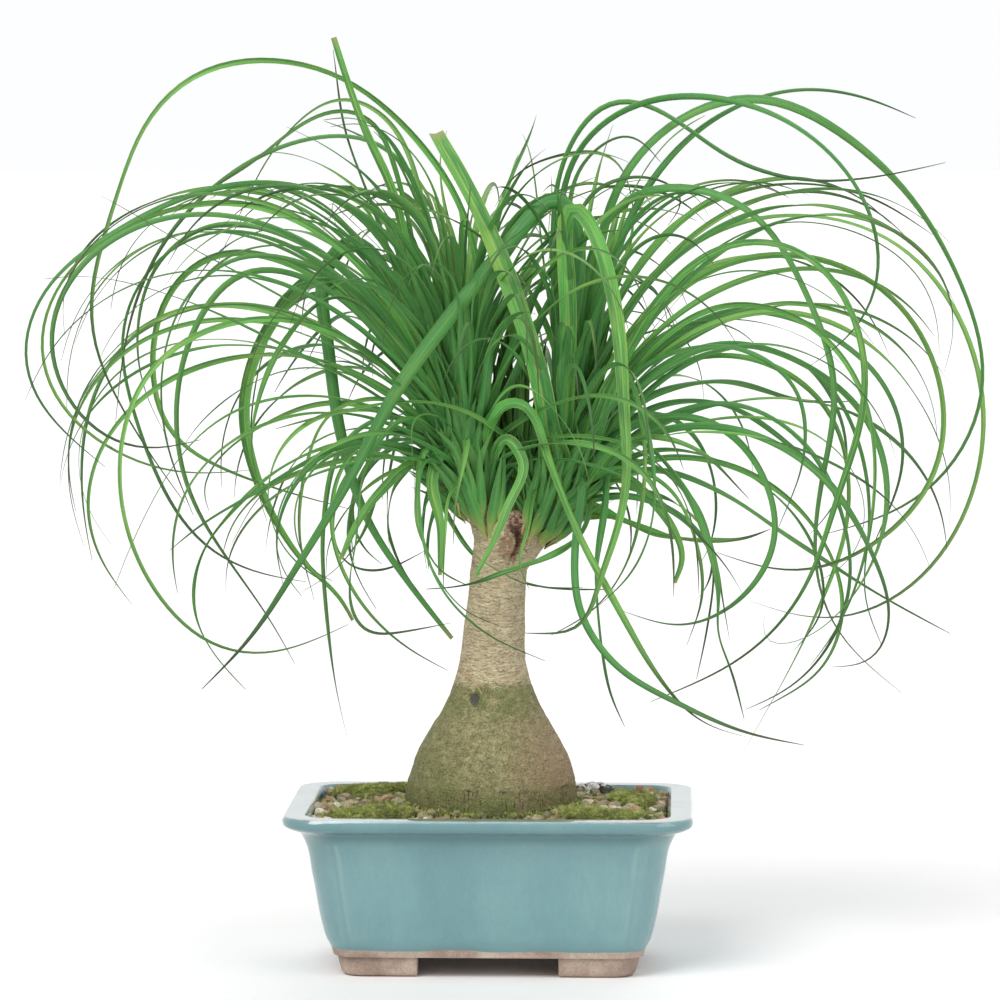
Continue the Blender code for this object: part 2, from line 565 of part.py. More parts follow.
def pebble(rng, x, y, size):
    work = bmesh.new()
    bmesh.ops.create_icosphere(work, subdivisions=1, radius=size)
    spin = Matrix.Rotation(rng.uniform(0, math.tau), 4, "Z")
    spin = spin @ Matrix.Rotation(rng.uniform(-0.6, 0.6), 4, "X")
    flat = (rng.uniform(0.85, 1.2), rng.uniform(0.75, 1.0), rng.uniform(0.65, 0.85), 1.0)
    squash = Matrix.Diagonal(flat)
    place = Matrix.Translation((x, y, dressing_height(x, y) + size * 0.10))
    work.transform(Matrix.Scale(MM, 4) @ place @ spin @ squash)
    mesh = bpy.data.meshes.new("stone")
    work.to_mesh(mesh)
    work.free()
    stone = bpy.data.objects.new("stone", mesh)
    bpy.context.scene.collection.objects.link(stone)
    return stone


def build_moss(name, spot, dressing, green):
    # a cushion sunk in the grit, then cut off along a copy of the grit raised by the gap
    middle_x, middle_y, half_long, half_wide, turn, height = spot
    rng = random.Random(len(name) * 31 + int(middle_x))
    sides = MOSS_SIDES
    bumps = [rng.uniform(0.86, 1.06) for _ in range(sides)]
    loops = []
    for share, rise in MOSS_RINGS:
        loop = []
        for i in range(sides):
            around = math.tau * i / sides
            wide = bumps[i] if share > 0.4 else 1.0
            along, across = turned(half_long * share * wide * math.cos(around),
                                   half_wide * share * wide * math.sin(around), turn)
            x, y = middle_x + along, middle_y + across
            uneven = 1.0 if share > 0.95 else rng.uniform(0.88, 1.12)
            lift = -MOSS_SUNK if rise is None else height * rise * uneven
            loop.append((x, y, dressing_height(x, y) + lift))
        loops.append(loop)
    moss = add_object(name, *skin(loops), green)
    raised = bpy.data.objects.new("raised_grit", dressing.data.copy())
    raised.data.transform(Matrix.Translation((0.0, 0.0, GAP * MM)))
    bpy.context.scene.collection.objects.link(raised)
    boolean(moss, raised, "DIFFERENCE", "MANIFOLD")
    clean_union(moss)
    smooth(moss, 60.0)
    return moss


def spline(points, count):
    # an even smooth line through hand-placed points
    points = np.array(points, float)
    gaps = np.linalg.norm(np.diff(points, axis=0), axis=1)
    slopes = np.diff(points, axis=0) / gaps[:, None]
    tangents = np.empty_like(points)
    tangents[0], tangents[-1] = slopes[0], slopes[-1]
    both = slopes[:-1] * gaps[1:, None] + slopes[1:] * gaps[:-1, None]
    tangents[1:-1] = both / (gaps[1:] + gaps[:-1])[:, None]
    rows = []
    u = np.linspace(0.0, 1.0, 13)[:-1, None]
    for i, gap in enumerate(gaps):
        start = (2 * u ** 3 - 3 * u ** 2 + 1) * points[i] + (u ** 3 - 2 * u ** 2 + u) * tangents[i] * gap
        end = (3 * u ** 2 - 2 * u ** 3) * points[i + 1] + (u ** 3 - u ** 2) * tangents[i + 1] * gap
        rows.append(start + end)
    return even_line(np.vstack(rows + [points[-1:]]), count)


def even_line(line, count):
    run = np.concatenate(([0.0], np.cumsum(np.linalg.norm(np.diff(line, axis=0), axis=1))))
    places = np.linspace(0.0, run[-1], count)
    return np.stack([np.interp(places, run, line[:, i]) for i in range(3)], axis=1)


def seen_line(head, slope, bow, points):
    # a leaf read off the photo: x and z are known, the depth comes from the slope and the bow
    axis_x = (HEADS[head][0][0] + HEADS[head][1][0]) / 2
    flat = spline([(x, 0.0, z) for x, z in points], 49)
    share = np.linspace(0.0, 1.0, len(flat))
    foot = min(13.0, max(-13.0, slope * 24.0 + bow * 0.22))
    depth = (flat[:, 0] - axis_x) * slope + bow * (1.0 - (1.0 - share) ** 2) + foot * (1.0 - share) ** 6
    eye = np.array(EYE)
    along = 1.0 + depth[:, None] / -eye[1]
    line = eye + (flat - eye) * along
    return even_line(line, 49)


def free_line(head, turn, rise, length, curl, height, drift):
    # a leaf that grows out of the core, arches over and droops, cut down until it stays within the crown
    bottom = np.array(HEADS[head][0])
    top = np.array(HEADS[head][1])
    place = bottom + (top - bottom) * height
    steps = 48
    share = (np.arange(steps) + 0.5) / steps
    lean = np.radians(rise - curl * share ** LEAF_BEND)
    heading = np.radians(turn + drift * share ** 2)
    out = np.cos(lean)
    step = np.stack([out * np.cos(heading), out * np.sin(heading), np.sin(lean)], axis=1)
    line = np.vstack([[0.0, 0.0, 0.0], np.cumsum(step / steps, axis=0)])
    for _ in range(14):
        grown = place + line * length
        low, high = grown.min(axis=0), grown.max(axis=0)
        if (low > CROWN_LOW).all() and (high < CROWN_HIGH).all():
            break
        length *= 0.94
    return grown


def key_rows(line, error):
    # keep the points that hold the curve to within the error
    keep = {0, len(line) - 1}
    spans = [(0, len(line) - 1)]
    while spans:
        low, high = spans.pop()
        if high - low < 2:
            continue
        chord = line[high] - line[low]
        between = line[low + 1:high] - line[low]
        share = np.clip(between @ chord / max(chord @ chord, 1e-9), 0.0, 1.0)
        off = np.linalg.norm(between - share[:, None] * chord, axis=1)
        if off.max() > error:
            middle = low + 1 + int(off.argmax())
            keep.add(middle)
            spans += [(low, middle), (middle, high)]
    return sorted(keep)


def leaf_width(share, wide, tip):
    return tip + (wide - tip) * (1.0 - share ** 1.4)


def segment_gaps(a, b, c, d):
    # shortest distances between each line a-b and each line c-d
    u = (b - a)[:, None, :]
    v = (d - c)[None, :, :]
    w = a[:, None, :] - c[None, :, :]
    uu, vv, uv = (u * u).sum(-1), (v * v).sum(-1), (u * v).sum(-1)
    uw, vw = (u * w).sum(-1), (v * w).sum(-1)
    s = np.clip((uv * vw - uw * vv) / np.maximum(uu * vv - uv * uv, 1e-9), 0.0, 1.0)
    t = np.clip((uv * s + vw) / vv, 0.0, 1.0)
    s = np.clip((uv * t - uw) / uu, 0.0, 1.0)
    return np.linalg.norm(w + u * s[..., None] - v * t[..., None], axis=-1)


def tightest(leaf, others):
    # how far the leaf stays clear of the others once both widths are taken off
    if not others:
        return 99.0
    ends_a = np.vstack([other["keys"][:-1] for other in others])
    ends_b = np.vstack([other["keys"][1:] for other in others])
    wide = np.concatenate([other["wide"][:-1] for other in others])
    gaps = segment_gaps(leaf["keys"][:-1], leaf["keys"][1:], ends_a, ends_b)
    room = gaps - 0.5 * leaf["wide"][:-1][:, None] - 0.5 * wide[None, :]
    return float(room.min())


def trunk_room(leaf):
    rows = np.array(TRUNK)
    points = even_line(leaf["keys"], 60)
    middle = np.interp(points[:, 2], rows[:, 0], rows[:, 1])
    radius = np.interp(points[:, 2], rows[:, 0], rows[:, 2])
    away = np.hypot(points[:, 0] - middle, points[:, 1]) - radius
    low = points[:, 2] < TRUNK[-1][0]
    left_stump = np.hypot(points[:, 0] + 4.0, points[:, 1]) - 15.5
    right_stump = np.hypot(points[:, 0] - 22.0, points[:, 1]) - 14.5
    stump = np.minimum(left_stump, right_stump)
    near = low & (points[:, 2] > 203.0)
    away = np.where(near, np.minimum(away, stump), away)
    wide = leaf["wide"].max() * 0.5
    return float((away - wide)[low].min()) if low.any() else 99.0


def core_room(leaf, head):
    bottom, top, radii = HEADS[head]
    a, b = np.array([bottom]), np.array([top])
    gaps = segment_gaps(leaf["keys"][:-1], leaf["keys"][1:], a, b)[:, 0]
    return float((gaps - 0.5 * leaf["wide"][:-1]).min()) - max(radii)


def outer_keys(leaf):
    # the same leaf without the rows that are still inside its own core
    bottom, top, radii = (np.array(part) for part in HEADS[leaf["head"]])
    along = (top - bottom) / np.linalg.norm(top - bottom)
    away = leaf["keys"] - bottom
    radial = np.linalg.norm(away - (away @ along)[:, None] * along, axis=1)
    first = int(np.argmax((radial > radii.max() + 6.0) | ((away @ along) > 66.0)))
    return {"keys": leaf["keys"][max(1, first):], "wide": leaf["wide"][max(1, first):]}


def make_leaf(head, line, wide, tip, roll, twist):
    rows = key_rows(line, RING_ERROR)
    share = np.array(rows) / (len(line) - 1)
    return {"head": head, "line": line, "rows": rows, "keys": line[rows], "tip": tip,
            "wide": leaf_width(share, wide, tip), "roll": roll, "twist": twist}


def grow_leaves():
    # each leaf is bent until it is clear of the trunk, of the other head and, if it can be, of its own
    rng = random.Random(LEAF_SEED)
    plans = []
    for head, slope, bow, wide, tip, points in SEEN_LEAVES:
        roll = rng.choice((-1, 1)) * rng.uniform(28.0, 72.0)
        plans.append(("seen", head, wide, tip, roll, rng.uniform(-100.0, 100.0), (slope, bow, points)))
    for head in HEADS:
        side = -1 if head == "left_head" else 1
        for i in range(FREE_LEAVES):
            share = (i + 0.5) / FREE_LEAVES
            turn = (i * GOLDEN_ANGLE) % 360.0
            sideways = max(0.0, side * math.cos(math.radians(turn)))
            inward = max(0.0, -side * math.cos(math.radians(turn)))
            steeper = 30.0 * (1.0 - sideways) * (1.0 - share)
            rise = min(88.0, 34.0 + 52.0 * share ** 0.8 + steeper + rng.uniform(-6.0, 6.0))
            length = (225.0 + 150.0 * sideways - 25.0 * inward) * rng.uniform(0.82, 1.08)
            curl = rise + 84.0 - 66.0 * share * share + rng.uniform(-18.0, 22.0)
            wide = rng.uniform(5.4, 8.0) * (0.82 + 0.25 * share)
            roll = rng.choice((-1, 1)) * rng.uniform(5.0, 50.0)
            plans.append(("free", head, wide, 0.8, roll, rng.uniform(-90.0, 90.0),
                          (turn, rise, length, curl, 0.30 + 0.62 * share, rng.uniform(-25.0, 25.0))))
    grown = []
    for kind, head, wide, tip, roll, twist, shape in plans:
        other_head = "right_head" if head == "left_head" else "left_head"
        foes = [leaf for leaf in grown if leaf["head"] == other_head]
        mates = [leaf["outer"] for leaf in grown if leaf["head"] == head]
        best = None
        for attempt in range(40):
            spread = 1.0 + attempt / 7.0
            if kind == "seen":
                slope, bow, points = shape
                if attempt:
                    slope += rng.uniform(-0.07, 0.07) * spread
                    bow += rng.uniform(-7.0, 7.0) * spread
                line = seen_line(head, slope, bow, points)
            else:
                turn, rise, length, curl, height, drift = shape
                if attempt:
                    turn += rng.uniform(-7.0, 7.0) * spread
                    rise = min(88.0, rise + rng.uniform(-3.0, 4.0) * spread)
                    length *= rng.uniform(0.93, 1.05)
                    drift += rng.uniform(-9.0, 9.0) * spread
                line = free_line(head, turn, rise, length, curl, height, drift)
            leaf = make_leaf(head, line, wide, tip, roll, twist)
            leaf["outer"] = outer_keys(leaf)
            if min(tightest(leaf, foes), trunk_room(leaf), core_room(leaf, other_head) - 0.2) < 0.6:
                continue
            loose = tightest(leaf["outer"], mates)
            if best is None or loose > best[0]:
                best = (loose, leaf)
            if loose > 0.5:
                break
        if best is None:
            print("left out:", kind, head, shape[-1] if kind == "seen" else [round(v) for v in shape])
            continue
        best[1]["clear"] = best[0]
        grown.append(best[1])
    return grown


def blade(leaf):
    # three-sided strap with a keel underneath, its root sunk in the core
    line, rows = leaf["line"], leaf["rows"]
    reach = line - line[0]
    far = reach[int(np.hypot(reach[:, 0], reach[:, 1]).argmax())]
    side = np.array([-far[1], far[0], 0.0]) / max(math.hypot(far[0], far[1]), 1e-6)
    points = []
    last = len(rows) - 1
    for k, row in enumerate(rows):
        before, after = line[max(0, row - 1)], line[min(len(line) - 1, row + 1)]
        along = (after - before) / np.linalg.norm(after - before)
        flat = side - (side @ along) * along
        flat /= np.linalg.norm(flat)
        share = row / (len(line) - 1)
        angle = math.radians(leaf["roll"] + leaf["twist"] * share)
        across = math.cos(angle) * flat + math.sin(angle) * np.cross(along, flat)
        under = np.cross(along, across)
        half = leaf["wide"][k] / 2
        thick = BLADE_THICK
        if k == last and leaf["tip"] < 1.5:
            points.append(tuple(line[row]))
            break
        points += [tuple(line[row] - across * half + under * thick * 0.4),
                   tuple(line[row] + across * half + under * thick * 0.4),
                   tuple(line[row] - under * thick * 0.6)]
    faces = [(2, 1, 0)]
    count = (len(points) - 1) // 3 if leaf["tip"] < 1.5 else len(points) // 3
    for k in range(count - 1):
        for i in range(3):
            j = (i + 1) % 3
            faces.append((3 * k + i, 3 * k + j, 3 * k + 3 + j, 3 * k + 3 + i))
    top = 3 * (count - 1)
    if leaf["tip"] < 1.5:
        faces += [(top + i, top + (i + 1) % 3, len(points) - 1) for i in range(3)]
    else:
        faces.append((top, top + 1, top + 2))
    triangles = []
    for face in faces:
        if len(face) == 4:
            triangles += [(face[0], face[1], face[2]), (face[0], face[2], face[3])]
        else:
            triangles.append(face)
    return add_object("blade", points, triangles)


def build_head(head, leaves, green):
    core = add_object(head, *core_skin(head), green)
    blades = bpy.data.collections.new(head + "_blades")
    bpy.context.scene.collection.children.link(blades)
    for leaf in leaves:
        if leaf["head"] == head:
            one = blade(leaf)
            blades.objects.link(one)
            bpy.context.scene.collection.objects.unlink(one)
    boolean(core, blades, "UNION", "MANIFOLD")
    return core


def drop_scraps(work):
    # a union can leave a loose sliver: only the largest body stays
    seen = set()
    bodies = []
    for face in work.faces:
        if face in seen:
            continue
        group = {face}
        stack = [face]
        while stack:
            for edge in stack.pop().edges:
                for near in edge.link_faces:
                    if near not in group:
                        group.add(near)
                        stack.append(near)
        seen |= group
        bodies.append(group)
    bodies.sort(key=len)
    spare = [face for body in bodies[:-1] for face in body]
    bmesh.ops.delete(work, geom=spare, context="FACES")
    loose = [vertex for vertex in work.verts if not vertex.link_faces]
    bmesh.ops.delete(work, geom=loose, context="VERTS")
    return len(bodies) - 1


def turn_split(work, edge):
    # two pairs of triangles share this edge: one flat pair is split the other way
    pairs = sorted(itertools.combinations(edge.link_faces, 2),
                   key=lambda pair: -pair[0].normal.dot(pair[1].normal))
    for one, other in pairs:
        if one.normal.dot(other.normal) < 0.99:
            break
        corners = list(one.verts)
        tip = next(vertex for vertex in one.verts if vertex not in edge.verts)
        far = next(vertex for vertex in other.verts if vertex not in edge.verts)
        if tip is far or work.edges.get((tip, far)):
            continue
        place = corners.index(tip)
        start, end = corners[(place + 1) % 3], corners[(place + 2) % 3]
        across = list(other.verts)
        if across[(across.index(far) + 1) % 3] is not end:
            continue
        bmesh.ops.delete(work, geom=[one, other], context="FACES_ONLY")
        for triangle in ((tip, start, far), (tip, far, end)):
            work.faces.new(triangle)
        return True
    return False


def clean_union(part):
    work = bmesh.new()
    work.from_mesh(part.data)
    bmesh.ops.remove_doubles(work, verts=work.verts, dist=WELD)
    bmesh.ops.dissolve_degenerate(work, edges=work.edges, dist=WELD)
    scraps = drop_scraps(work)
    bmesh.ops.triangulate(work, faces=work.faces)
    work.normal_update()
    turned_round = 0
    for _ in range(4):
        shared = [edge for edge in work.edges if len(edge.link_faces) > 2]
        for edge in shared:
            if edge.is_valid and turn_split(work, edge):
                turned_round += 1
        if not shared:
            break
    left = sum(len(edge.link_faces) != 2 for edge in work.edges)
    print(part.name, "triangles", len(work.faces), "scraps", scraps, "turned", turned_round, "open", left)
    work.to_mesh(part.data)
    work.free()
    smooth(part, 50.0)


def main():
    for old in list(bpy.data.objects):
        bpy.data.objects.remove(old)
    glaze = material("celadon_glaze", (0.20, 0.42, 0.43), 0.18, coat=0.6)
    bark = material("caudex_bark", (0.33, 0.27, 0.15), 0.85)
    earth = material("potting_soil", (0.06, 0.045, 0.03), 0.95)
    grit = material("grit", (0.30, 0.22, 0.17), 0.9)
    green_moss = material("moss_green", (0.12, 0.17, 0.04), 0.95)
    plastic = material("mesh_plastic", (0.03, 0.03, 0.03), 0.6)
    leaf_green = material("leaf_green", (0.07, 0.24, 0.05), 0.5)

    build_pot(glaze)
    build_screen("drain_screen_left", -DRAIN_X, plastic)
    build_screen("drain_screen_right", DRAIN_X, plastic)
    build_soil(earth)
    dressing = build_dressing(grit)
    for name, spot in MOSS.items():
        build_moss(name, spot, dressing, green_moss)
    build_trunk(bark)
    leaves = grow_leaves()
    print("leaves:", len(leaves), "crossing:", sum(leaf["clear"] < 0.0 for leaf in leaves))
    for head in HEADS:
        clean_union(build_head(head, leaves, leaf_green))

    # the row's origin is the middle of the whole plant's box, on the ground
    corners = np.array([vertex.co for part in bpy.data.objects for vertex in part.data.vertices])
    low, high = corners.min(axis=0), corners.max(axis=0)
    shift = Matrix.Translation((-(low[0] + high[0]) / 2, -(low[1] + high[1]) / 2, -low[2]))
    for part in bpy.data.objects:
        part.data.transform(shift)
    print("size mm:", [round(float(v) / MM, 1) for v in high - low])
    print("moved mm:", [round(v / MM, 2) for v in shift.translation])


main()
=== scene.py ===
import math
import random

import bmesh
import bpy
import numpy as np
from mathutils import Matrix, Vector, noise


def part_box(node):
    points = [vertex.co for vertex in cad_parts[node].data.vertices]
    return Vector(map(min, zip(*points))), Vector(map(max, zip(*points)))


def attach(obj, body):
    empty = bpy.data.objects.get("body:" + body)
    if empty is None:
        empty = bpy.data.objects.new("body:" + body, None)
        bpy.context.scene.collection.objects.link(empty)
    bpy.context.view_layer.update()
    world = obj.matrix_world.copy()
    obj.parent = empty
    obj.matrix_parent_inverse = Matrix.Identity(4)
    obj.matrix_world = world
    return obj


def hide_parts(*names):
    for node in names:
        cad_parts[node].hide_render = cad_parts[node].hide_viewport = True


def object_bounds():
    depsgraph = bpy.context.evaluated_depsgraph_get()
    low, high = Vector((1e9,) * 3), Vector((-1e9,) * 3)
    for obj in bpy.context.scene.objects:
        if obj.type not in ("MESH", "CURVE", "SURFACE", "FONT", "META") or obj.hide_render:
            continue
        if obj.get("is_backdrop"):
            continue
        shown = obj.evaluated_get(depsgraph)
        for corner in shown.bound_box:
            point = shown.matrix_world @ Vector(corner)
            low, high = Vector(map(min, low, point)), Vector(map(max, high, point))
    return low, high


# Looks of the potted ponytail palm. Lengths are millimetres from the middle of the pot on the ground
# until a mesh is made, then metres in the frame.
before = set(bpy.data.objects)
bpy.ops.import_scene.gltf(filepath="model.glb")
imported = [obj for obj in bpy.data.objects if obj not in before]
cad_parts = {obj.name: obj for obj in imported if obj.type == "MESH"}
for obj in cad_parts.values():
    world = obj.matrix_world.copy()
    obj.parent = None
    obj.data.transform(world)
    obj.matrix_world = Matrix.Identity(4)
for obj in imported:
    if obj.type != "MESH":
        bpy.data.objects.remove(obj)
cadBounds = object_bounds()
mm = 0.001
potLow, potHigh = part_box("pot")
potMiddle = np.array([(potLow.x + potHigh.x) / 2, (potLow.y + potHigh.y) / 2, 0.0])
print("frame loaded, pot middle at", [round(float(v), 4) for v in potMiddle])


def atPot(points):
    return np.asarray(points, float) * mm + potMiddle


def fromPot(points):
    return (np.asarray(points, float) - potMiddle) / mm


def tint(*channels):
    # a colour as read on a screen, from 0 to 255, made linear
    return tuple(c / 255 / 12.92 if c < 10.3 else ((c / 255 + 0.055) / 1.055) ** 2.4 for c in channels)


def linked(name, data):
    thing = bpy.data.objects.new(name, data)
    bpy.context.scene.collection.objects.link(thing)
    return thing


def newPiece(name, points, faces, *materials):
    mesh = bpy.data.meshes.new(name)
    mesh.from_pydata([tuple(point) for point in points], [], faces)
    mesh.validate()
    for material in materials:
        mesh.materials.append(material)
    return linked(name, mesh)


def pointsOf(mesh, key="co"):
    flat = np.empty(len(mesh.vertices) * 3)
    mesh.vertices.foreach_get(key, flat)
    return flat.reshape(-1, 3)


def pushPoints(mesh, ways, amounts):
    # moves every vertex along its own way, by millimetres
    points = pointsOf(mesh) + ways * (amounts * mm)[:, None]
    mesh.vertices.foreach_set("co", points.ravel())
    mesh.update()


def keepValues(mesh, values):
    # under each name one number, or one vector, on every vertex
    for name, rows in values.items():
        rows = np.asarray(rows, float)
        kind, key = ("FLOAT_VECTOR", "vector") if rows.ndim == 2 else ("FLOAT", "value")
        mesh.attributes.new(name, kind, "POINT").data.foreach_set(key, rows.ravel())


def rework(mesh, *changes):
    work = bmesh.new()
    work.from_mesh(mesh)
    for change in changes:
        change(work)
    work.to_mesh(mesh)
    work.free()


def evenNormals(work):
    bmesh.ops.recalc_face_normals(work, faces=work.faces)


def outwards(work):
    if work.calc_volume(signed=True) < 0.0:
        bmesh.ops.reverse_faces(work, faces=work.faces)


def shadeSmooth(mesh, angle=None):
    mesh.shade_smooth()
    if angle is not None:
        mesh.set_sharp_from_angle(angle=math.radians(angle))


def modify(piece, name, kind, **settings):
    modifier = piece.modifiers.new(name, kind)
    for key, value in settings.items():
        setattr(modifier, key, value)
    return modifier


def applyModifiers(piece):
    bpy.context.view_layer.update()
    graph = bpy.context.evaluated_depsgraph_get()
    mesh = bpy.data.meshes.new_from_object(piece.evaluated_get(graph))
    piece.modifiers.clear()
    old = piece.data
    piece.data = mesh
    mesh.name = piece.name
    bpy.data.meshes.remove(old)
    return piece


def cut(piece, other, operation="DIFFERENCE"):
    modify(piece, "cut", "BOOLEAN", operation=operation, object=other)
    applyModifiers(piece)
    bpy.data.objects.remove(other)


def dress(piece, slot, *nodes):
    # every piece of the plant rides on the one body and stands for its nodes
    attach(piece, "root")
    if nodes:
        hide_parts(*nodes)


def eased(low, high, value):
    share = np.clip((np.asarray(value, float) - low) / (high - low), 0.0, 1.0)
    return share * share * (3.0 - 2.0 * share)


def band(value, *edges):
    # 1 between two soft edges, each given by where it starts and where it ends
    return eased(*edges[:2], value) * (1.0 - eased(*edges[2:], value))


def bell(value, middle, width):
    return np.exp(-((value - middle) / width) ** 2)


def cloudy(points, size, seed=0.0, octaves=3, tall=1.0):
    # smooth noise from -1 to 1 at each point, size in millimetres and less on the way up where tall is over 1
    shift = Vector((seed * 17.3, seed * 5.1, seed * 9.7))
    return np.array([noise.fractal(Vector(point) / size + shift, 1.0, 2.0, octaves)
                     for point in points * np.array([1.0, 1.0, tall])])


def circle(radius, turns, middle=(0.0, 0.0)):
    return np.stack([middle[0] + radius * np.cos(turns), middle[1] + radius * np.sin(turns)], axis=1)


def lifted(flat, z):
    return np.column_stack([flat, np.full(len(flat), z)])


# Nodes

class nodeWriter:
    # adds nodes to one tree; most of its functions give the socket that comes out

    def __init__(self, tree, colours=None):
        self.tree, self.colours = tree, colours

    def fill(self, node, inputs):
        for key, value in inputs.items():
            if isinstance(value, bpy.types.NodeSocket):
                self.tree.links.new(value, node.inputs[key])
            else:
                node.inputs[key].default_value = value
        return node

    def add(self, kind, inputs, output=0, **settings):
        node = self.tree.nodes.new(kind)
        for name, value in settings.items():
            setattr(node, name, value)
        return self.fill(node, inputs).outputs[output]

    def math(self, operation, *values):
        return self.add("ShaderNodeMath", dict(enumerate(values)), operation=operation)

    def plus(self, first, second):
        return self.math("ADD", first, second)

    def minus(self, first, second):
        return self.math("SUBTRACT", first, second)

    def times(self, first, second):
        return self.math("MULTIPLY", first, second)

    def timesPlus(self, first, second, third):
        return self.math("MULTIPLY_ADD", first, second, third)

    def awayFrom(self, value, middle):
        return self.math("ABSOLUTE", self.minus(value, middle))

    def scaled(self, vector, amount):
        return self.add("ShaderNodeVectorMath", {0: vector, "Scale": amount}, operation="SCALE")

    def xyz(self, vector, part):
        return self.add("ShaderNodeSeparateXYZ", {0: vector}, part)

    def map(self, value, low, high, toLow=0.0, toHigh=1.0):
        return self.add("ShaderNodeMapRange", {0: value, 1: low, 2: high, 3: toLow, 4: toHigh}, clamp=True)

    def noise(self, at, scale, detail=3.0, rough=0.55):
        return self.add("ShaderNodeTexNoise", {"Vector": at, "Scale": scale, "Detail": detail, "Roughness": rough})

    def cells(self, at, scale, feature="F1"):
        return self.add("ShaderNodeTexVoronoi", {"Vector": at, "Scale": scale}, "Distance", feature=feature)

    def value(self, name):
        return self.add("ShaderNodeAttribute", {}, "Fac", attribute_name=name)

    def place(self, *scale):
        # object coordinates, from the pot's middle, stretched where a pattern runs one way
        scale = scale or (1.0, 1.0, 1.0)
        coordinates = self.add("ShaderNodeTexCoord", {}, "Object")
        shift = tuple(-float(v) * s for v, s in zip(potMiddle, scale))
        return self.add("ShaderNodeMapping", {"Vector": coordinates, "Location": shift, "Scale": scale})

    def colour(self, given):
        # a name among the writer's colours, a plain colour or a socket
        given = self.colours[given] if isinstance(given, str) else given
        return (*given, 1.0) if isinstance(given, tuple) else given

    def mix(self, share, first, second):
        inputs = {0: share, 6: self.colour(first), 7: self.colour(second)}
        return self.add("ShaderNodeMix", inputs, 2, data_type="RGBA")

    def lay(self, colour, *layers):
        # each layer is how much of a colour lies over what is below
        for share, over in layers:
            colour = self.mix(share, colour, over)
        return colour

    def ramp(self, value, stops):
        output = self.add("ShaderNodeValToRGB", {0: value})
        elements = output.node.color_ramp.elements
        while len(elements) < len(stops):
            elements.new(0.5)
        for element, (place, colour) in zip(elements, stops):
            element.position, element.color = place, self.colour(colour)
        return output

    def bump(self, height, strength, distance):
        return self.add("ShaderNodeBump", {"Height": height, "Strength": strength, "Distance": distance})

    def mottled(self, at, scale, speckScale, speckAmount, *colours):
        inputs = {"Vector": at, "Scale": scale, "Speck Scale": speckScale, "Speck Amount": speckAmount}
        inputs.update(zip(("Low", "Middle", "High"), map(self.colour, colours)))
        return self.add("ShaderNodeGroup", inputs, node_tree=mottle).node.outputs

    def grained(self, at, coarse, fine):
        return self.add("ShaderNodeGroup", {"Vector": at, "Coarse": coarse, "Fine": fine}, node_tree=grain)

    def named(self, name, kind="FLOAT"):
        return self.add("GeometryNodeInputNamedAttribute", {"Name": name}, "Attribute", data_type=kind)

    def store(self, geometry, name, value, domain="POINT"):
        inputs = {"Geometry": geometry, "Name": name, "Value": value}
        return self.add("GeometryNodeStoreNamedAttribute", inputs, data_type="FLOAT", domain=domain)

    def settle(self, geometry, material):
        # a geometry tree ends as one plain mesh with its material
        real = self.add("GeometryNodeRealizeInstances", {0: geometry})
        self.fill(self.result, {0: self.add("GeometryNodeSetMaterial", {0: real, "Material": material})})
        return self.tree

    def finish(self, inputs):
        self.fill(self.tree.nodes["Principled BSDF"], inputs)
        return self.material


def newLook(name, colours, inputs):
    material = bpy.data.materials.new(name)
    material.use_nodes = True
    w = nodeWriter(material.node_tree, colours)
    w.material = material
    w.finish(inputs)
    return w


def newTree(name, kind, inputs, outputs):
    # a node group with named inputs and outputs
    tree = bpy.data.node_groups.new(name, kind)
    for way, sockets in (("INPUT", inputs), ("OUTPUT", outputs)):
        for label, sort in sockets.items():
            tree.interface.new_socket(label, in_out=way, socket_type="NodeSocket" + sort)
    w = nodeWriter(tree)
    w.result = tree.nodes.new("NodeGroupOutput")
    return w, tree.nodes.new("NodeGroupInput").outputs


def makeMottle():
    # three colours blended in soft patches, with fine specks on top
    w, given = newTree("mottle", "ShaderNodeTree", {
        "Vector": "Vector", "Scale": "Float", "Speck Scale": "Float", "Speck Amount": "Float",
        "Low": "Color", "Middle": "Color", "High": "Color"}, {"Colour": "Color", "Specks": "Float"})
    patches = w.noise(given["Vector"], given["Scale"], 5.0, 0.6)
    colour = w.mix(w.map(patches, 0.34, 0.52), given["Low"], given["Middle"])
    colour = w.mix(w.map(patches, 0.52, 0.68), colour, given["High"])
    specks = w.map(w.noise(given["Vector"], given["Speck Scale"], 2.0, 0.7), 0.42, 0.62)
    shaded = w.scaled(colour, w.map(specks, 0.0, 1.0, 1.35, 0.6))
    w.fill(w.result, {"Colour": w.mix(given["Speck Amount"], colour, shaded), "Specks": specks})
    return w.tree


def makeGrain():
    # a height with coarse lumps and fine grain, for bump
    w, given = newTree("grain", "ShaderNodeTree", {"Vector": "Vector", "Coarse": "Float", "Fine": "Float"},
                       {"Height": "Float"})
    coarse = w.noise(given["Vector"], given["Coarse"], 4.0, 0.6)
    fine = w.noise(given["Vector"], given["Fine"], 3.0, 0.65)
    w.fill(w.result, {"Height": w.timesPlus(fine, 0.4, coarse)})
    return w.tree


mottle = makeMottle()
grain = makeGrain()


# Camera, floor and light

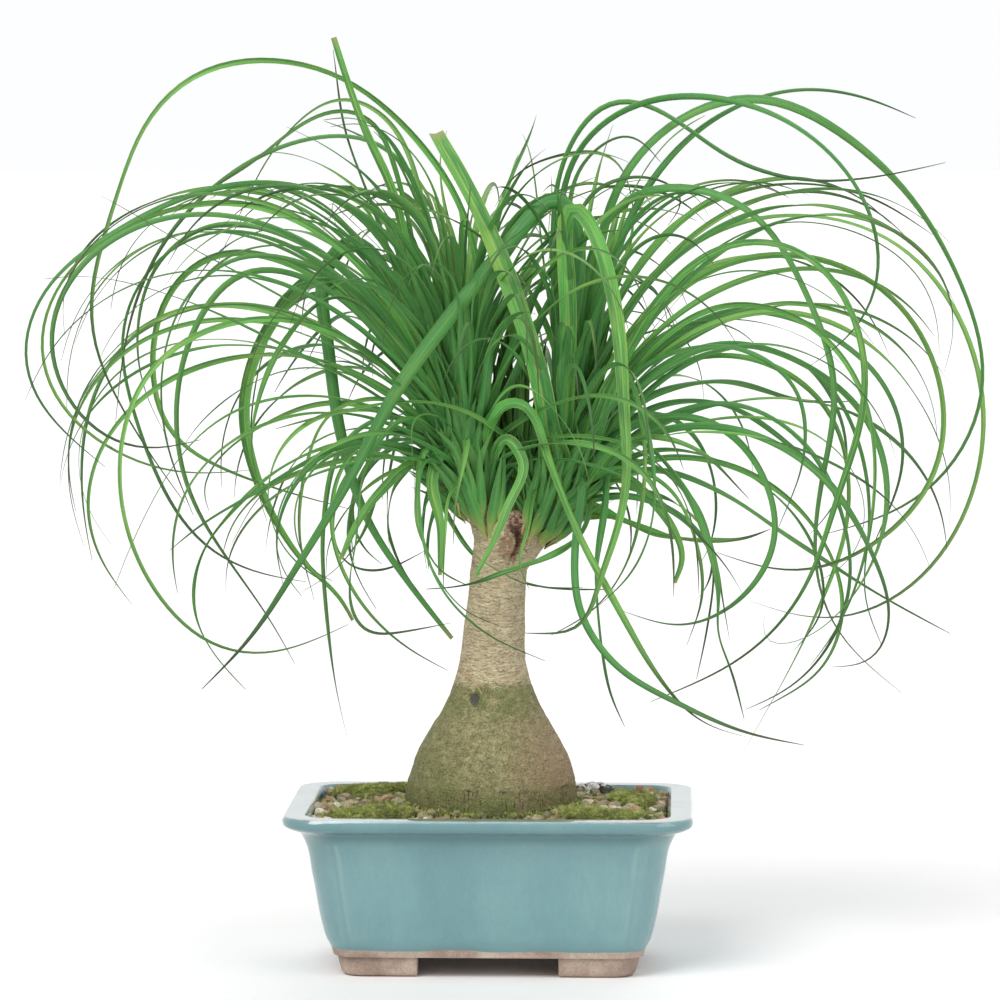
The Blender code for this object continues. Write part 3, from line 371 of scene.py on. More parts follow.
cameraSettings = {"azimuth": 2.1, "distance": 2600.0, "height": 432.0, "aim": (4.3, 0.0, 233.0), "lens": 187.2}
lightSettings = {  # where each soft sun stands, how wide it looks, and its strength
    "keySun": {"from": (-0.55, -0.95, 1.15), "angle": 34.0, "power": 2.1, "colour": (1.0, 0.985, 0.96)},
    "fillSun": {"from": (1.1, -0.9, 0.75), "angle": 50.0, "power": 0.9, "colour": (0.96, 0.98, 1.0)},
    "backSun": {"from": (0.3, 1.2, 1.0), "angle": 50.0, "power": 0.8, "colour": (1.0, 1.0, 1.0)},
}
worldSettings = {"colour": (0.985, 0.99, 1.0), "seen": 1.0, "lighting": 0.46}
floorSettings = {"reach": 30000.0, "level": -0.4}


def makeStage():
    turn, distance = math.radians(cameraSettings["azimuth"]), cameraSettings["distance"]
    eye = Vector(atPot((distance * math.sin(turn), -distance * math.cos(turn), cameraSettings["height"])))
    aim = Vector(atPot(cameraSettings["aim"]))
    camera = linked("camera", bpy.data.cameras.new("camera"))
    camera.location = eye
    camera.rotation_euler = (aim - eye).to_track_quat("-Z", "Y").to_euler()
    camera.data.lens = cameraSettings["lens"]
    camera.data.sensor_width = 36.0
    camera.data.clip_end = 50.0
    scene = bpy.context.scene
    scene.camera = camera

    for name, light in lightSettings.items():
        lamp = bpy.data.lights.new(name, "SUN")
        lamp.angle = math.radians(light["angle"])
        lamp.energy = light["power"]
        lamp.color = light["colour"]
        linked(name, lamp).rotation_euler = Vector(light["from"]).to_track_quat("Z", "Y").to_euler()

    # an even white studio, a little dimmer as light than as what is seen and mirrored
    scene.world = bpy.data.worlds.new("studio")
    scene.world.use_nodes = True
    w = nodeWriter(scene.world.node_tree)
    strength = w.map(w.add("ShaderNodeLightPath", {}, "Is Diffuse Ray"), 0.0, 1.0,
                     worldSettings["seen"], worldSettings["lighting"])
    w.fill(w.tree.nodes["Background"], {"Color": (*worldSettings["colour"], 1.0), "Strength": strength})
    scene.view_settings.view_transform = "Standard"

    w = newLook("paleFloor", {}, {"Roughness": 0.7})
    paper = w.mottled(w.place(), 3.0, 900.0, 0.02, (0.86,) * 3, (0.88,) * 3, (0.9,) * 3)["Colour"]
    reach, level = floorSettings["reach"], floorSettings["level"]
    corners = [(-reach, -reach, level), (reach, -reach, level), (reach, reach, level), (-reach, reach, level)]
    floor = newPiece("floor", atPot(corners), [(0, 1, 2, 3)], w.finish({"Base Color": paper}))
    floor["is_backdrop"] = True


makeStage()
print("camera, light and floor set")


# The pot

potSettings = {
    "outside": [  # half width, half depth, height, corner radius
        (77.0, 54.5, 10.0, 13.0), (78.2, 55.5, 13.6, 14.0), (80.6, 57.8, 18.4, 15.0), (83.0, 60.0, 27.0, 16.0),
        (87.0, 63.4, 49.0, 17.0), (91.0, 67.0, 68.0, 18.0), (93.4, 69.0, 72.4, 18.0), (98.6, 73.6, 74.6, 20.0),
        (101.0, 75.6, 76.4, 21.0), (101.5, 76.0, 78.8, 21.5), (100.4, 75.0, 80.8, 21.0)],
    "inside": [
        (90.4, 65.0, 80.8, 13.0), (89.0, 63.6, 79.0, 12.0), (88.0, 62.8, 74.0, 12.0), (84.2, 60.0, 62.0, 12.0),
        (75.0, 52.0, 20.0, 11.0), (72.0, 49.0, 16.0, 9.0)],
    "lipRise": ((0.12, 0.55), (0.35, 0.75), (0.65, 0.72), (0.88, 0.5)),
    "cornerSteps": 14,
    "sideSteps": 12,
    "cornerFlat": 0.30,      # how far the body's corners are cut flat, from a round corner to a chamfer
    "footOut": (75.0, 52.4, 12.0),
    "footBottom": (71.0, 48.6, 9.0),
    "footRows": ((0.0, 0.0, 0.0), (0.9, 0.35, 0.9), (2.0, 1.6, 2.0), (2.5, 3.0, 2.4)),  # wider, height, rounder
    "footWall": 9.0,
    "footHeight": 10.3,
    "footLength": (36.0, 27.0),
    "drain": (38.0, 6.5),
    "glazeLine": 13.4,
}


def potLoop(halfX, halfY, z, radius, flat=0.0):
    # a rounded rectangle whose corners lean towards a chamfer with two soft edges
    steps, sideSteps = potSettings["cornerSteps"], potSettings["sideSteps"]
    share = np.linspace(0.0, 1.0, steps + 1)
    corners = []
    for quarter, (signX, signY) in enumerate([(1, 1), (-1, 1), (-1, -1), (1, -1)]):
        middle = signX * (halfX - radius), signY * (halfY - radius)
        arc = circle(radius, np.radians(90.0 * quarter + 90.0 * share), middle)
        chord = arc[0] + (arc[-1] - arc[0]) * share[:, None]
        corners.append(arc + (chord - arc) * flat * np.sin(math.pi * share[:, None]) ** 0.5)
    points = []
    for corner, following in zip(corners, corners[1:] + corners[:1]):
        points += list(corner)
        points += [corner[-1] + (following[0] - corner[-1]) * k / sideSteps for k in range(1, sideSteps)]
    return lifted(np.array(points), z)


def smoothWeights(u):
    # what a start, its slope, an end and its slope each weigh at u on the smooth line between them
    return 2 * u ** 3 - 3 * u ** 2 + 1, u ** 3 - 2 * u ** 2 + u, 3 * u ** 2 - 2 * u ** 3, u ** 3 - u ** 2


def runAlong(line):
    return np.concatenate(([0.0], np.cumsum(np.linalg.norm(np.diff(line, axis=0), axis=1))))


def denserRows(rows, gap):
    # more rows between the given ones, along a smooth line
    table = np.array(rows, float)
    run = runAlong(table[:, :3])
    slopes = np.gradient(table, run, axis=0)
    result = []
    for place in np.union1d(np.linspace(0.0, run[-1], max(2, int(run[-1] / gap))), run):
        i = min(len(run) - 2, int(np.searchsorted(run, place, side="right")) - 1)
        width = run[i + 1] - run[i]
        start, leaving, end, coming = smoothWeights((place - run[i]) / width)
        result.append(start * table[i] + leaving * width * slopes[i]
                      + end * table[i + 1] + coming * width * slopes[i + 1])
    return np.array(result)


def ringFaces(rows, count, closed=True):
    faces = []
    for row in range(rows - 1):
        for i in range(count):
            j = (i + 1) % count
            faces.append((row * count + i, row * count + j, (row + 1) * count + j, (row + 1) * count + i))
    if closed:
        faces += [tuple(range(count))[::-1], tuple(range((rows - 1) * count, rows * count))]
    return faces


def ringSolid(name, loops, *materials):
    piece = newPiece(name, atPot(np.vstack(loops)), ringFaces(len(loops), len(loops[0])), *materials)
    rework(piece.data, evenNormals, outwards)
    return piece


def plainBox(name, halfX, halfY, low, high):
    corners = np.array([(-halfX, -halfY), (halfX, -halfY), (halfX, halfY), (-halfX, halfY)])
    return ringSolid(name, [lifted(corners, z) for z in (low, high)])


def makePot(material):
    outside, inside, height = potSettings["outside"], potSettings["inside"], potSettings["footHeight"]
    loops = []
    for row in denserRows(outside, 1.3):
        loops.append(potLoop(*row, flat=potSettings["cornerFlat"] * float(band(row[2], 12.0, 20.0, 68.0, 74.0))))
    for share, rise in potSettings["lipRise"]:
        middle = [a + (b - a) * share for a, b in zip(outside[-1], inside[0])]
        middle[2] += rise * 0.16
        loops.append(potLoop(*middle))
    pot = ringSolid("potBody", loops + [potLoop(*row) for row in denserRows(inside, 3.0)], material)

    low, out = potSettings["footBottom"], potSettings["footOut"]
    foot = ringSolid("foot", [potLoop(low[0] + more, low[1] + more, z, low[2] + rounder)
                              for more, z, rounder in potSettings["footRows"]]
                     + [potLoop(out[0], out[1], z, out[2]) for z in (8.8, height)])
    ends = -2.0, height + 2.0
    wall, far = potSettings["footWall"], 200.0
    cut(foot, ringSolid("hollow", [potLoop(low[0] - wall, low[1] - wall, z, 5.0) for z in ends]))
    across, along = (low[k] - potSettings["footLength"][k] for k in (0, 1))
    cut(foot, plainBox("frontGap", across, far, *ends))
    cut(foot, plainBox("sideGap", far, along, *ends))
    modify(foot, "soften", "BEVEL", width=0.9 * mm, segments=3, limit_method="ANGLE", angle_limit=math.radians(60.0))
    applyModifiers(foot)
    cut(pot, foot, "UNION")
    drainX, drainRadius = potSettings["drain"]
    for side in (-1, 1):
        ring = circle(drainRadius, np.linspace(0.0, math.tau, 40, endpoint=False), (side * drainX, 0.0))
        cut(pot, ringSolid("drainHole", [lifted(ring, z) for z in (4.0, 22.0)]))

    # the glaze breaks pale on the soft edges and the lip, which also carry a painted highlight and a painted
    # reflection; painted shade darkens the glaze below the lip and on its front band; and the wall is never quite
    # flat
    points = fromPot(pointsOf(pot.data))
    x, y = np.abs(points[:, :2]).T
    z = points[:, 2]
    levels = np.array(outside)[:9]
    halfX, halfY, radius = (np.interp(z, levels[:, 2], levels[:, k]) for k in (0, 1, 3))
    nearest = np.minimum(np.abs(x - (halfX - radius * 0.93)), np.abs(y - (halfY - radius * 0.93)))
    # pale streaks down both soft edges of each corner: thin glaze and a painted highlight
    arrisThinAndHighlight = (bell(nearest, 0.0, 1.1) + 0.5 * bell(nearest, 4.5, 1.0)) * band(z, 14.0, 22.0, 66.0, 71.0)
    # painted shade: the glaze is darker in the cove under the lip and on the lip's front band
    coveShade = band(z, 66.0, 72.5, 74.2, 75.6) + 0.42 * band(z, 74.6, 76.0, 79.6, 80.6)
    # the lip top is painted pale, for thin glaze and as a painted reflection
    keepValues(pot.data, {"potEdge": np.clip(arrisThinAndHighlight, 0.0, 1.0), "potLip": eased(80.3, 80.8, z),
                          "potCove": coveShade * ((x > 82.0) | (y > 58.0))})
    wave = cloudy(points, 38.0, 2.0, 2) * 0.35 * eased(16.0, 30.0, z) * (1.0 - eased(60.0, 70.0, z))
    onOutside = (x > halfX - 3.0) | (y > halfY - 3.0)
    pushPoints(pot.data, pointsOf(pot.data, "normal") * np.array([1.0, 1.0, 0.0]), -np.abs(wave) * onOutside)
    shadeSmooth(pot.data, 38.0)
    dress(pot, "celadon_glaze", "pot")


glazeColours = {
    "pool": tint(72, 113, 117), "low": tint(98, 139, 144), "body": tint(106, 147, 151), "high": tint(115, 154, 155),
    "thin": tint(138, 170, 169), "pale": tint(176, 188, 187), "rust": tint(96, 78, 62),
    "clay": tint(168, 148, 134), "clayLight": tint(186, 168, 154), "clayDark": tint(140, 120, 108),
}


def makeGlaze():
    w = newLook("celadonGlaze", glazeColours, {"Roughness": 0.15, "IOR": 1.5, "Coat Roughness": 0.06})
    place = w.place()
    height = w.xyz(place, 2)
    glaze = w.mottled(w.place(1.0, 1.0, 0.35), 26.0, 420.0, 0.07, "low", "body", "high")["Colour"]
    clay = w.mottled(place, 60.0, 1300.0, 0.4, "clayDark", "clay", "clayLight")["Colour"]
    # the pale edges stand for thin glaze and a painted highlight
    edge = w.times(w.value("potEdge"), w.map(w.noise(place, 60.0), 0.3, 0.6, 0.4, 0.95))
    pinholes = w.map(w.noise(place, 900.0, 1.0, 0.5), 0.70, 0.76)
    level = w.plus(height, w.times(w.minus(w.noise(place, 30.0, 2.0), 0.5), 0.004))
    line = potSettings["glazeLine"] * mm
    glazed = w.map(level, line - 0.0003, line + 0.0003)
    bead = w.map(level, line, line + 0.0028, 1.0, 0.0)
    # brown specks along the outer edge of the lip
    lipEdgeSpecks = w.times(w.map(w.noise(place, 48.0, 5.0, 0.75), 0.5, 0.6, 0.12, 0.6),
                   w.map(w.awayFrom(height, 0.0806), 0.0001, 0.0006, 1.0, 0.0))
    # the pale lip top: thin glaze and a painted reflection
    colour = w.lay(glaze, (w.times(edge, 0.6), "thin"), (w.times(w.value("potLip"), 0.5), "pale"),
                   # painted shade in the cove under the lip; the same colour also marks the bead at the glaze line
                   (w.times(w.value("potCove"), 0.8), "pool"), (w.times(pinholes, 0.35), "clayDark"),
                   (w.times(bead, 0.45), "pool"), (lipEdgeSpecks, "rust"))
    rough = w.math("MAXIMUM", w.map(glazed, 0.0, 1.0, 0.85, 0.0), w.map(w.noise(place, 45.0), 0.3, 0.7, 0.10, 0.22))
    rise = w.times(w.grained(place, 900.0, 3500.0), w.map(glazed, 0.0, 1.0, 1.0, 0.06))
    rise = w.timesPlus(w.noise(place, 70.0, 2.0), w.map(glazed, 0.0, 1.0, 0.0, 0.9), rise)
    return w.finish({"Base Color": w.mix(glazed, clay, colour), "Roughness": rough,
                     "Coat Weight": w.times(glazed, 0.7), "Normal": w.bump(rise, 0.35, 0.0004)})


makePot(makeGlaze())
print("pot made")


# The trunk

trunkSettings = {
    "rows": [  # height, middle x, radius
        (44.0, -1.0, 27.0), (50.0, -1.0, 34.0), (62.0, -1.0, 40.5), (76.0, -1.0, 43.2), (88.0, -0.9, 43.0),
        (95.0, -0.4, 41.2), (104.0, -0.3, 38.4), (115.4, 0.0, 32.4), (124.0, 0.2, 27.2), (132.0, 0.3, 22.7),
        (143.6, 0.4, 18.6), (156.2, 0.6, 16.3), (173.3, 1.8, 15.1), (196.5, 3.6, 14.3), (211.0, 6.0, 15.0),
        (222.0, 8.0, 14.6), (227.5, 8.6, 11.6)],
    "stumps": {  # foot, end, way the end looks, radii
        "left_head": ((3.4, 0.0, 212.0), (-5.0, 0.0, 231.8), (-0.107, 0.0, 0.994), (11.5, 10.0, 8.6)),
        "right_head": ((11.6, 0.0, 206.0), (24.6, 0.0, 218.4), (0.258, 0.0, 0.966), (10.2, 8.6, 7.4))},
    "sides": 96,
    "voxel": 0.74,
    "forkSoftness": 22,
    "ringGap": 3.1,
    "knot": (-8.0, 134.6, 2.9, 3.9),           # x, z, half width and half height of each mark
    "hollow": (12.0, 213.0, 5.4, 8.0),
    "hollowLean": 0.18,
    "scar": (15.4, 223.2, 6.6, 4.6),
    "ledge": 90.3,
}


def aroundAxis(middle, along, radius, sides):
    across = along.cross(Vector((0.0, 1.0, 0.0))).normalized()
    other = along.cross(across)
    turns = [math.tau * i / sides for i in range(sides)]
    return np.array([middle + across * radius * math.cos(t) + other * radius * math.sin(t) for t in turns])


def trunkShape():
    rows = denserRows([(*row, row[2]) for row in trunkSettings["rows"]], 1.5)
    turns = np.linspace(0.0, math.tau, trunkSettings["sides"], endpoint=False)
    uneven = 0.012 * np.sin(3 * turns + 0.4) + 0.010 * np.sin(5 * turns + 1.9)
    trunk = ringSolid("trunkBark", [
        lifted(circle(radius * (1.0 + uneven * min(1.0, radius / 30.0)), turns, (middle, 0.0)), z)
        for z, middle, radius, _ in rows])
    for foot, end, facing, radii in trunkSettings["stumps"].values():
        foot, end, facing = Vector(foot), Vector(end), Vector(facing)
        stump = []
        for step in range(9):
            share = step / 8
            along = (end - foot).normalized().lerp(facing, share).normalized()
            radius = float(np.interp(share, np.linspace(0.0, 1.0, len(radii)), radii))
            stump.append(aroundAxis(foot.lerp(end, share), along, radius, 40))
        cut(trunk, ringSolid("stump", stump), "UNION")
    modify(trunk, "finer", "REMESH", mode="VOXEL", voxel_size=trunkSettings["voxel"] * mm)
    modify(trunk, "softer", "SMOOTH", factor=0.5, iterations=4)
    applyModifiers(trunk)
    # the fork is rounded off more than the rest
    fork = trunk.vertex_groups.new(name="fork")
    levels = np.round(eased(198.0, 212.0, fromPot(pointsOf(trunk.data))[:, 2]) * 10)
    for level in range(1, 11):
        fork.add(np.nonzero(levels == level)[0].tolist(), level / 10, "REPLACE")
    modify(trunk, "rounder", "SMOOTH", factor=0.5, iterations=trunkSettings["forkSoftness"], vertex_group="fork")
    return applyModifiers(trunk)


def makeTrunk(material):
    trunk = trunkShape()
    points = fromPot(pointsOf(trunk.data))
    x, y, z = points.T
    heights, middles, _ = zip(*trunkSettings["rows"])
    turn = np.arctan2(y, x - np.interp(z, heights, middles))
    slow = cloudy(points, 24.0, 1.0, 3, 1.4)
    mid = cloudy(points, 6.5, 3.0, 3, 1.8)
    fine = cloudy(points, 2.6, 4.0, 2, 2.6)
    upper = eased(136.0, 158.0, z)
    ledge = trunkSettings["ledge"] + 2.2 * slow + 0.9 * mid
    low = 1.0 - eased(-1.0, 1.6, z - ledge)

    # leaf scar rings run round the upper trunk, never quite level, and fade out on the swollen foot
    gap = trunkSettings["ringGap"] * (1.0 + 0.12 * np.sin(z / 17.0))
    phase = z / gap + 0.5 * np.sin(turn + z / 30.0) + 0.9 * slow + 0.35 * mid
    rings = bell(phase - np.floor(phase), 0.5, 0.15) * (0.25 + 0.75 * upper) * np.clip(0.6 + 0.9 * mid, 0.0, 1.0)

    # below the ledge the swollen foot splits in short upright cracks
    columns = turn * 30.0 + 1.6 * cloudy(points, 9.0, 6.0, 3, 0.35)
    crack = bell(columns, np.round(columns), 0.15) * np.clip(0.75 + 1.2 * mid, 0.0, 1.0)
    seam = bell(z, ledge, 0.5) * np.clip(0.25 + 1.2 * mid, 0.0, 1.0)
    cracked = np.clip(np.maximum(crack * low, seam), 0.0, 1.0)

    front = y < 0.0
    marks, shares = {}, {}
    for name in ("knot", "hollow", "scar"):
        middleX, middleZ, halfWide, halfTall = trunkSettings[name]
        lean = trunkSettings["hollowLean"] * (z - middleZ) if name == "hollow" else 0.0
        away = np.hypot((x - middleX - lean) / halfWide, (z - middleZ) / halfTall)
        marks[name] = away * (1.0 + 0.3 * mid) + 0.2 * fine
        shares[name] = np.exp(-np.minimum(marks[name], 4.0) ** 4) * front
    knot, hollow, scar = shares.values()
    # the hollow is a dark crescent that opens to the left, with wrinkles inside; its dark brown is partly the wood's
    # colour and partly painted shade in the recess
    middleX, middleZ, halfWide, halfTall = trunkSettings["hollow"]
    sideways = (x - middleX - trunkSettings["hollowLean"] * (z - middleZ)) / halfWide
    upright = (z - middleZ) / halfTall
    inner = 1.0 - eased(0.75, 1.1, np.hypot((sideways + 0.62) / 0.95, (upright + 0.2) / 0.9) + 0.15 * fine)
    hollow = hollow * (1.0 - inner)
    collar = bell(marks["knot"], 1.4, 0.35) * front
    lips = bell(marks["hollow"], 1.4, 0.35) * front
    wrinkles = np.sin(marks["hollow"] * 15.0) * bell(marks["hollow"], 1.0, 0.9) * (sideways < 0.5) * front
    rim = bell(marks["scar"], 1.15, 0.25) * front

    out = 0.55 * slow * (1.0 - upper * 0.4) + 0.20 * mid + 0.13 * fine - 0.26 * rings - 0.45 * cracked - 0.25 * low
    out += -1.3 * knot + 0.5 * collar - 3.0 * hollow + (0.6 + 0.5 * mid) * lips + 0.8 * rim
    out += scar * (1.0 + 0.9 * fine) + 0.3 * wrinkles
    pushPoints(trunk.data, pointsOf(trunk.data, "normal"), out)
    shrivelled = np.maximum(0.3 * inner * front, 0.25 * wrinkles)
    outline = 0.5 * bell(marks["scar"], 1.0, 0.12) * front
    values = {"Ring": rings, "Crack": cracked, "Knot": knot, "Scar": scar, "Low": low,
              "Hollow": np.maximum(np.maximum(hollow, shrivelled), outline)}
    keepValues(trunk.data, {"bark" + name: np.clip(rows, 0.0, 1.0) for name, rows in values.items()})
    trunk.data.materials.append(material)
    shadeSmooth(trunk.data)
    dress(trunk, "caudex_bark", "trunk")


barkColours = {
    "tanDark": tint(186, 168, 136), "tan": tint(205, 192, 156), "tanPale": tint(217, 207, 173),
    "oliveDark": tint(122, 118, 78), "olive": tint(144, 139, 98), "olivePale": tint(158, 152, 110),
    "line": tint(104, 82, 58), "crack": tint(44, 40, 28), "moss": tint(98, 114, 52), "speck": tint(178, 174, 120),
    "brown": tint(164, 138, 108), "knot": tint(70, 72, 68), "hollow": tint(66, 42, 30), "rust": tint(138, 92, 60),
    "scar": tint(178, 152, 134), "pith": tint(70, 50, 42),
}


def makeBark():
    w = newLook("caudexBark", barkColours, {"Roughness": 0.85})
    place, flat = w.place(), w.place(1.0, 1.0, 3.0)
    height = w.xyz(place, 2)
    grit = w.noise(place, 520.0, 3.0, 0.65)
    rough = w.minus(grit, 0.5)
    level = w.plus(height, w.times(w.minus(w.noise(place, 150.0, 5.0, 0.85), 0.5), 0.022))

    # the upper trunk: tan, with broken level lines and a low brick-like net
    upper = w.mottled(flat, 210.0, 1100.0, 0.3, "tanDark", "tan", "tanPale")
    lines = w.add("ShaderNodeTexWave", {"Vector": place, "Scale": 190.0, "Distortion": 14.0, "Detail": 4.0,
                                        "Detail Scale": 1.3, "Detail Roughness": 0.65},
                  "Fac", wave_type="BANDS", bands_direction="Z")
    broken = w.map(w.noise(w.place(1.0, 1.0, 2.0), 230.0, 3.0, 0.6), 0.42, 0.54)
    thin = w.times(w.map(lines, 0.0, 0.34, 0.75, 0.0), broken)
    brick = w.map(w.cells(w.place(1.0, 1.0, 2.3), 400.0, "DISTANCE_TO_EDGE"), 0.0, 0.12, 0.34, 0.0)
    tan = w.lay(upper["Colour"], (w.map(w.noise(place, 40.0, 3.0, 0.6), 0.5, 0.66, 0.0, 0.22), "brown"),
                (w.math("MAXIMUM", thin, brick), "line"), (w.times(w.value("barkRing"), 0.38), "line"))

    # the swollen foot: olive with green and brown fields, sandy specks and a fine dark net
    lower = w.mottled(place, 260.0, 1000.0, 0.5, "oliveDark", "olive", "olivePale")
    sideways = w.timesPlus(w.minus(w.noise(place, 16.0, 3.0, 0.6), 0.5), 0.08, w.xyz(place, 0))
    lowRight = w.times(w.map(sideways, 0.004, 0.030, 0.0, 0.7), w.map(height, 0.11, 0.135, 1.0, 0.2))
    fissures = w.map(w.awayFrom(w.noise(place, 240.0, 4.0, 0.7), 0.5), 0.0, 0.02, 0.42, 0.0)
    dotRoom = w.times(w.map(w.noise(place, 90.0, 4.0, 0.7), 0.46, 0.6),
                      w.map(w.awayFrom(level, 0.137), 0.004, 0.012, 0.95, 0.12))
    dotted = w.times(w.map(w.cells(place, 620.0), 0.2, 0.34, 0.9, 0.0), dotRoom)
    net = w.cells(w.place(1.0, 1.0, 0.8), 560.0, "DISTANCE_TO_EDGE")
    nets = w.times(w.map(net, 0.0, 0.12, 0.42, 0.0), broken)
    olive = w.lay(lower["Colour"], (lowRight, "brown"), (w.map(sideways, -0.034, -0.010, 0.4, 0.0), "moss"),
                  (fissures, "crack"), (dotted, "speck"), (nets, "crack"))

    # both, then moss at the foot and the middle, cracks, the knot, the cut stub and the healed hollow, whose dark
    # brown is partly painted shade
    mossRoom = w.math("MAXIMUM", w.map(level, 0.082, 0.096, 0.9, 0.0),
                      w.map(w.awayFrom(level, 0.135), 0.002, 0.011, 0.6, 0.0))
    mossy = w.times(w.map(w.noise(place, 150.0, 4.0, 0.75), 0.44, 0.54), mossRoom)
    torn = w.timesPlus(rough, 0.9, w.value("barkCrack"))
    ragged = w.times(rough, 1.5)
    scarTone = w.mix(w.map(grit, 0.5, 0.58), "scar", "pith")
    scarEdge = w.timesPlus(rough, 0.8, w.value("barkScar"))
    hollowEdge = w.plus(w.value("barkHollow"), w.times(ragged, 0.6))
    colour = w.lay(w.mix(w.map(level, 0.1405, 0.1420), olive, tan), (w.times(w.value("barkLow"), 0.25), "line"),
                   (mossy, "moss"), (w.map(torn, 0.4, 0.8, 0.0, 0.85), "crack"),
                   (w.map(w.plus(w.value("barkKnot"), ragged), 0.45, 0.75, 0.0, 0.92), "knot"),
                   (w.map(scarEdge, 0.35, 0.6), scarTone), (w.map(hollowEdge, 0.05, 0.4, 0.0, 0.7), "rust"),
                   (w.map(hollowEdge, 0.3, 0.8, 0.0, 0.95), "hollow"))
    rise = w.minus(w.grained(flat, 420.0, 1900.0), w.times(thin, 0.8))
    rise = w.minus(w.minus(rise, w.times(w.plus(nets, brick), 0.8)), w.times(fissures, 0.6))
    rise = w.plus(rise, w.times(dotted, 0.6))
    return w.finish({"Base Color": colour, "Roughness": w.map(lower["Specks"], 0.0, 1.0, 0.74, 0.95),
                     "Normal": w.bump(rise, 0.75, 0.0007)})


makeTrunk(makeBark())
print("trunk made")


# Soil, drain screens, gravel and moss

groundSettings = {"soilTop": 71.0, "edge": 77.6, "rise": 4.2, "around": 132, "rings": 30, "trunkMiddle": -0.96,
                  "trunkRadius": 43.1, "gap": 0.6,
                  "heaps": ((52.0, 40.0, 9.0, 4.0), (-47.0, 36.0, 4.0, 4.0))}  # x, y, radius and height of rubble
mossSettings = {  # middle x and y, half length, half width, turn
    "moss_front_left": (-58.0, -43.0, 22.0, 11.0, 10.0),
    "moss_front_right": (59.0, -45.0, 24.0, 10.0, -6.0),
    "moss_back_left": (-62.0, 34.0, 21.0, 13.0, -12.0),
    "moss_right": (71.0, 6.0, 12.0, 17.0, 8.0),
}
scatterSettings = {
    "grit": {"Seed": 5, "Distance": 2.8 * mm, "Density": 90000.0, "Smallest": 0.5, "Largest": 1.9, "Skew": 2.2,
             "Sunk": 0.35 * mm, "Upright": 1.0},
    "rubble": {"Seed": 4, "Distance": 1.5 * mm, "Density": 400000.0, "Smallest": 0.4, "Largest": 1.5, "Skew": 1.5,
               "Sunk": 0.3 * mm, "Upright": 0.5},
    "crumb": {"Seed": 9, "Distance": 1.1 * mm, "Density": 520000.0, "Smallest": 0.8, "Largest": 1.8, "Skew": 1.0,
              "Sunk": 0.3 * mm, "Upright": 0.6},
    "sprig": {"Seed": 3, "Distance": 0.62 * mm, "Density": 2000000.0, "Smallest": 0.7, "Largest": 1.4, "Skew": 1.0,
              "Sunk": 0.25 * mm, "Upright": 0.35},
}


def groundHeight(x, y):
    reach = np.hypot(x / 88.0, y / 62.0)
    mound = groundSettings["rise"] * np.maximum(0.0, 1.0 - reach) ** 0.8
    wave = 0.45 * np.sin(x / 11.0 + 0.6) * np.cos(y / 9.0) + 0.25 * np.sin(x / 5.0 + y / 7.0)
    back = 1.7 * eased(8.0, 46.0, y)
    for heapX, heapY, radius, rise in groundSettings["heaps"]:
        back = back + rise * np.exp(-(((x - heapX) ** 2 + (y - heapY) ** 2) / radius ** 2))
    return groundSettings["edge"] + mound * 1.6 + back + wave * np.minimum(1.0, 3.0 * np.maximum(0.0, 1.0 - reach))


def insideLoop(z, shrink, count):
    levels = np.array(sorted(potSettings["inside"], key=lambda row: row[2]))
    halfX, halfY, radius = (float(np.interp(z, levels[:, 2], levels[:, k])) - shrink for k in (0, 1, 3))
    loop = potLoop(halfX, halfY, z, radius)[:, :2]
    turn = np.arctan2(loop[:, 1], loop[:, 0])
    order = np.argsort(turn)
    around = np.linspace(-math.pi, math.pi, count, endpoint=False)
    reach = np.interp(around, turn[order], np.hypot(*loop[order].T), period=math.tau)
    return around, reach


def mossShare(x, y):
    # how deep a point lies in a moss cushion, 1 in the middle and 0 outside
    deepest = np.zeros_like(np.asarray(x, float))
    for middleX, middleY, halfLong, halfWide, turn in mossSettings.values():
        c, s = math.cos(math.radians(-turn)), math.sin(math.radians(-turn))
        along = (x - middleX) * c - (y - middleY) * s
        across = (x - middleX) * s + (y - middleY) * c
        deepest = np.maximum(deepest, 1.0 - np.hypot(along / halfLong, across / halfWide))
    return np.maximum(0.0, deepest)


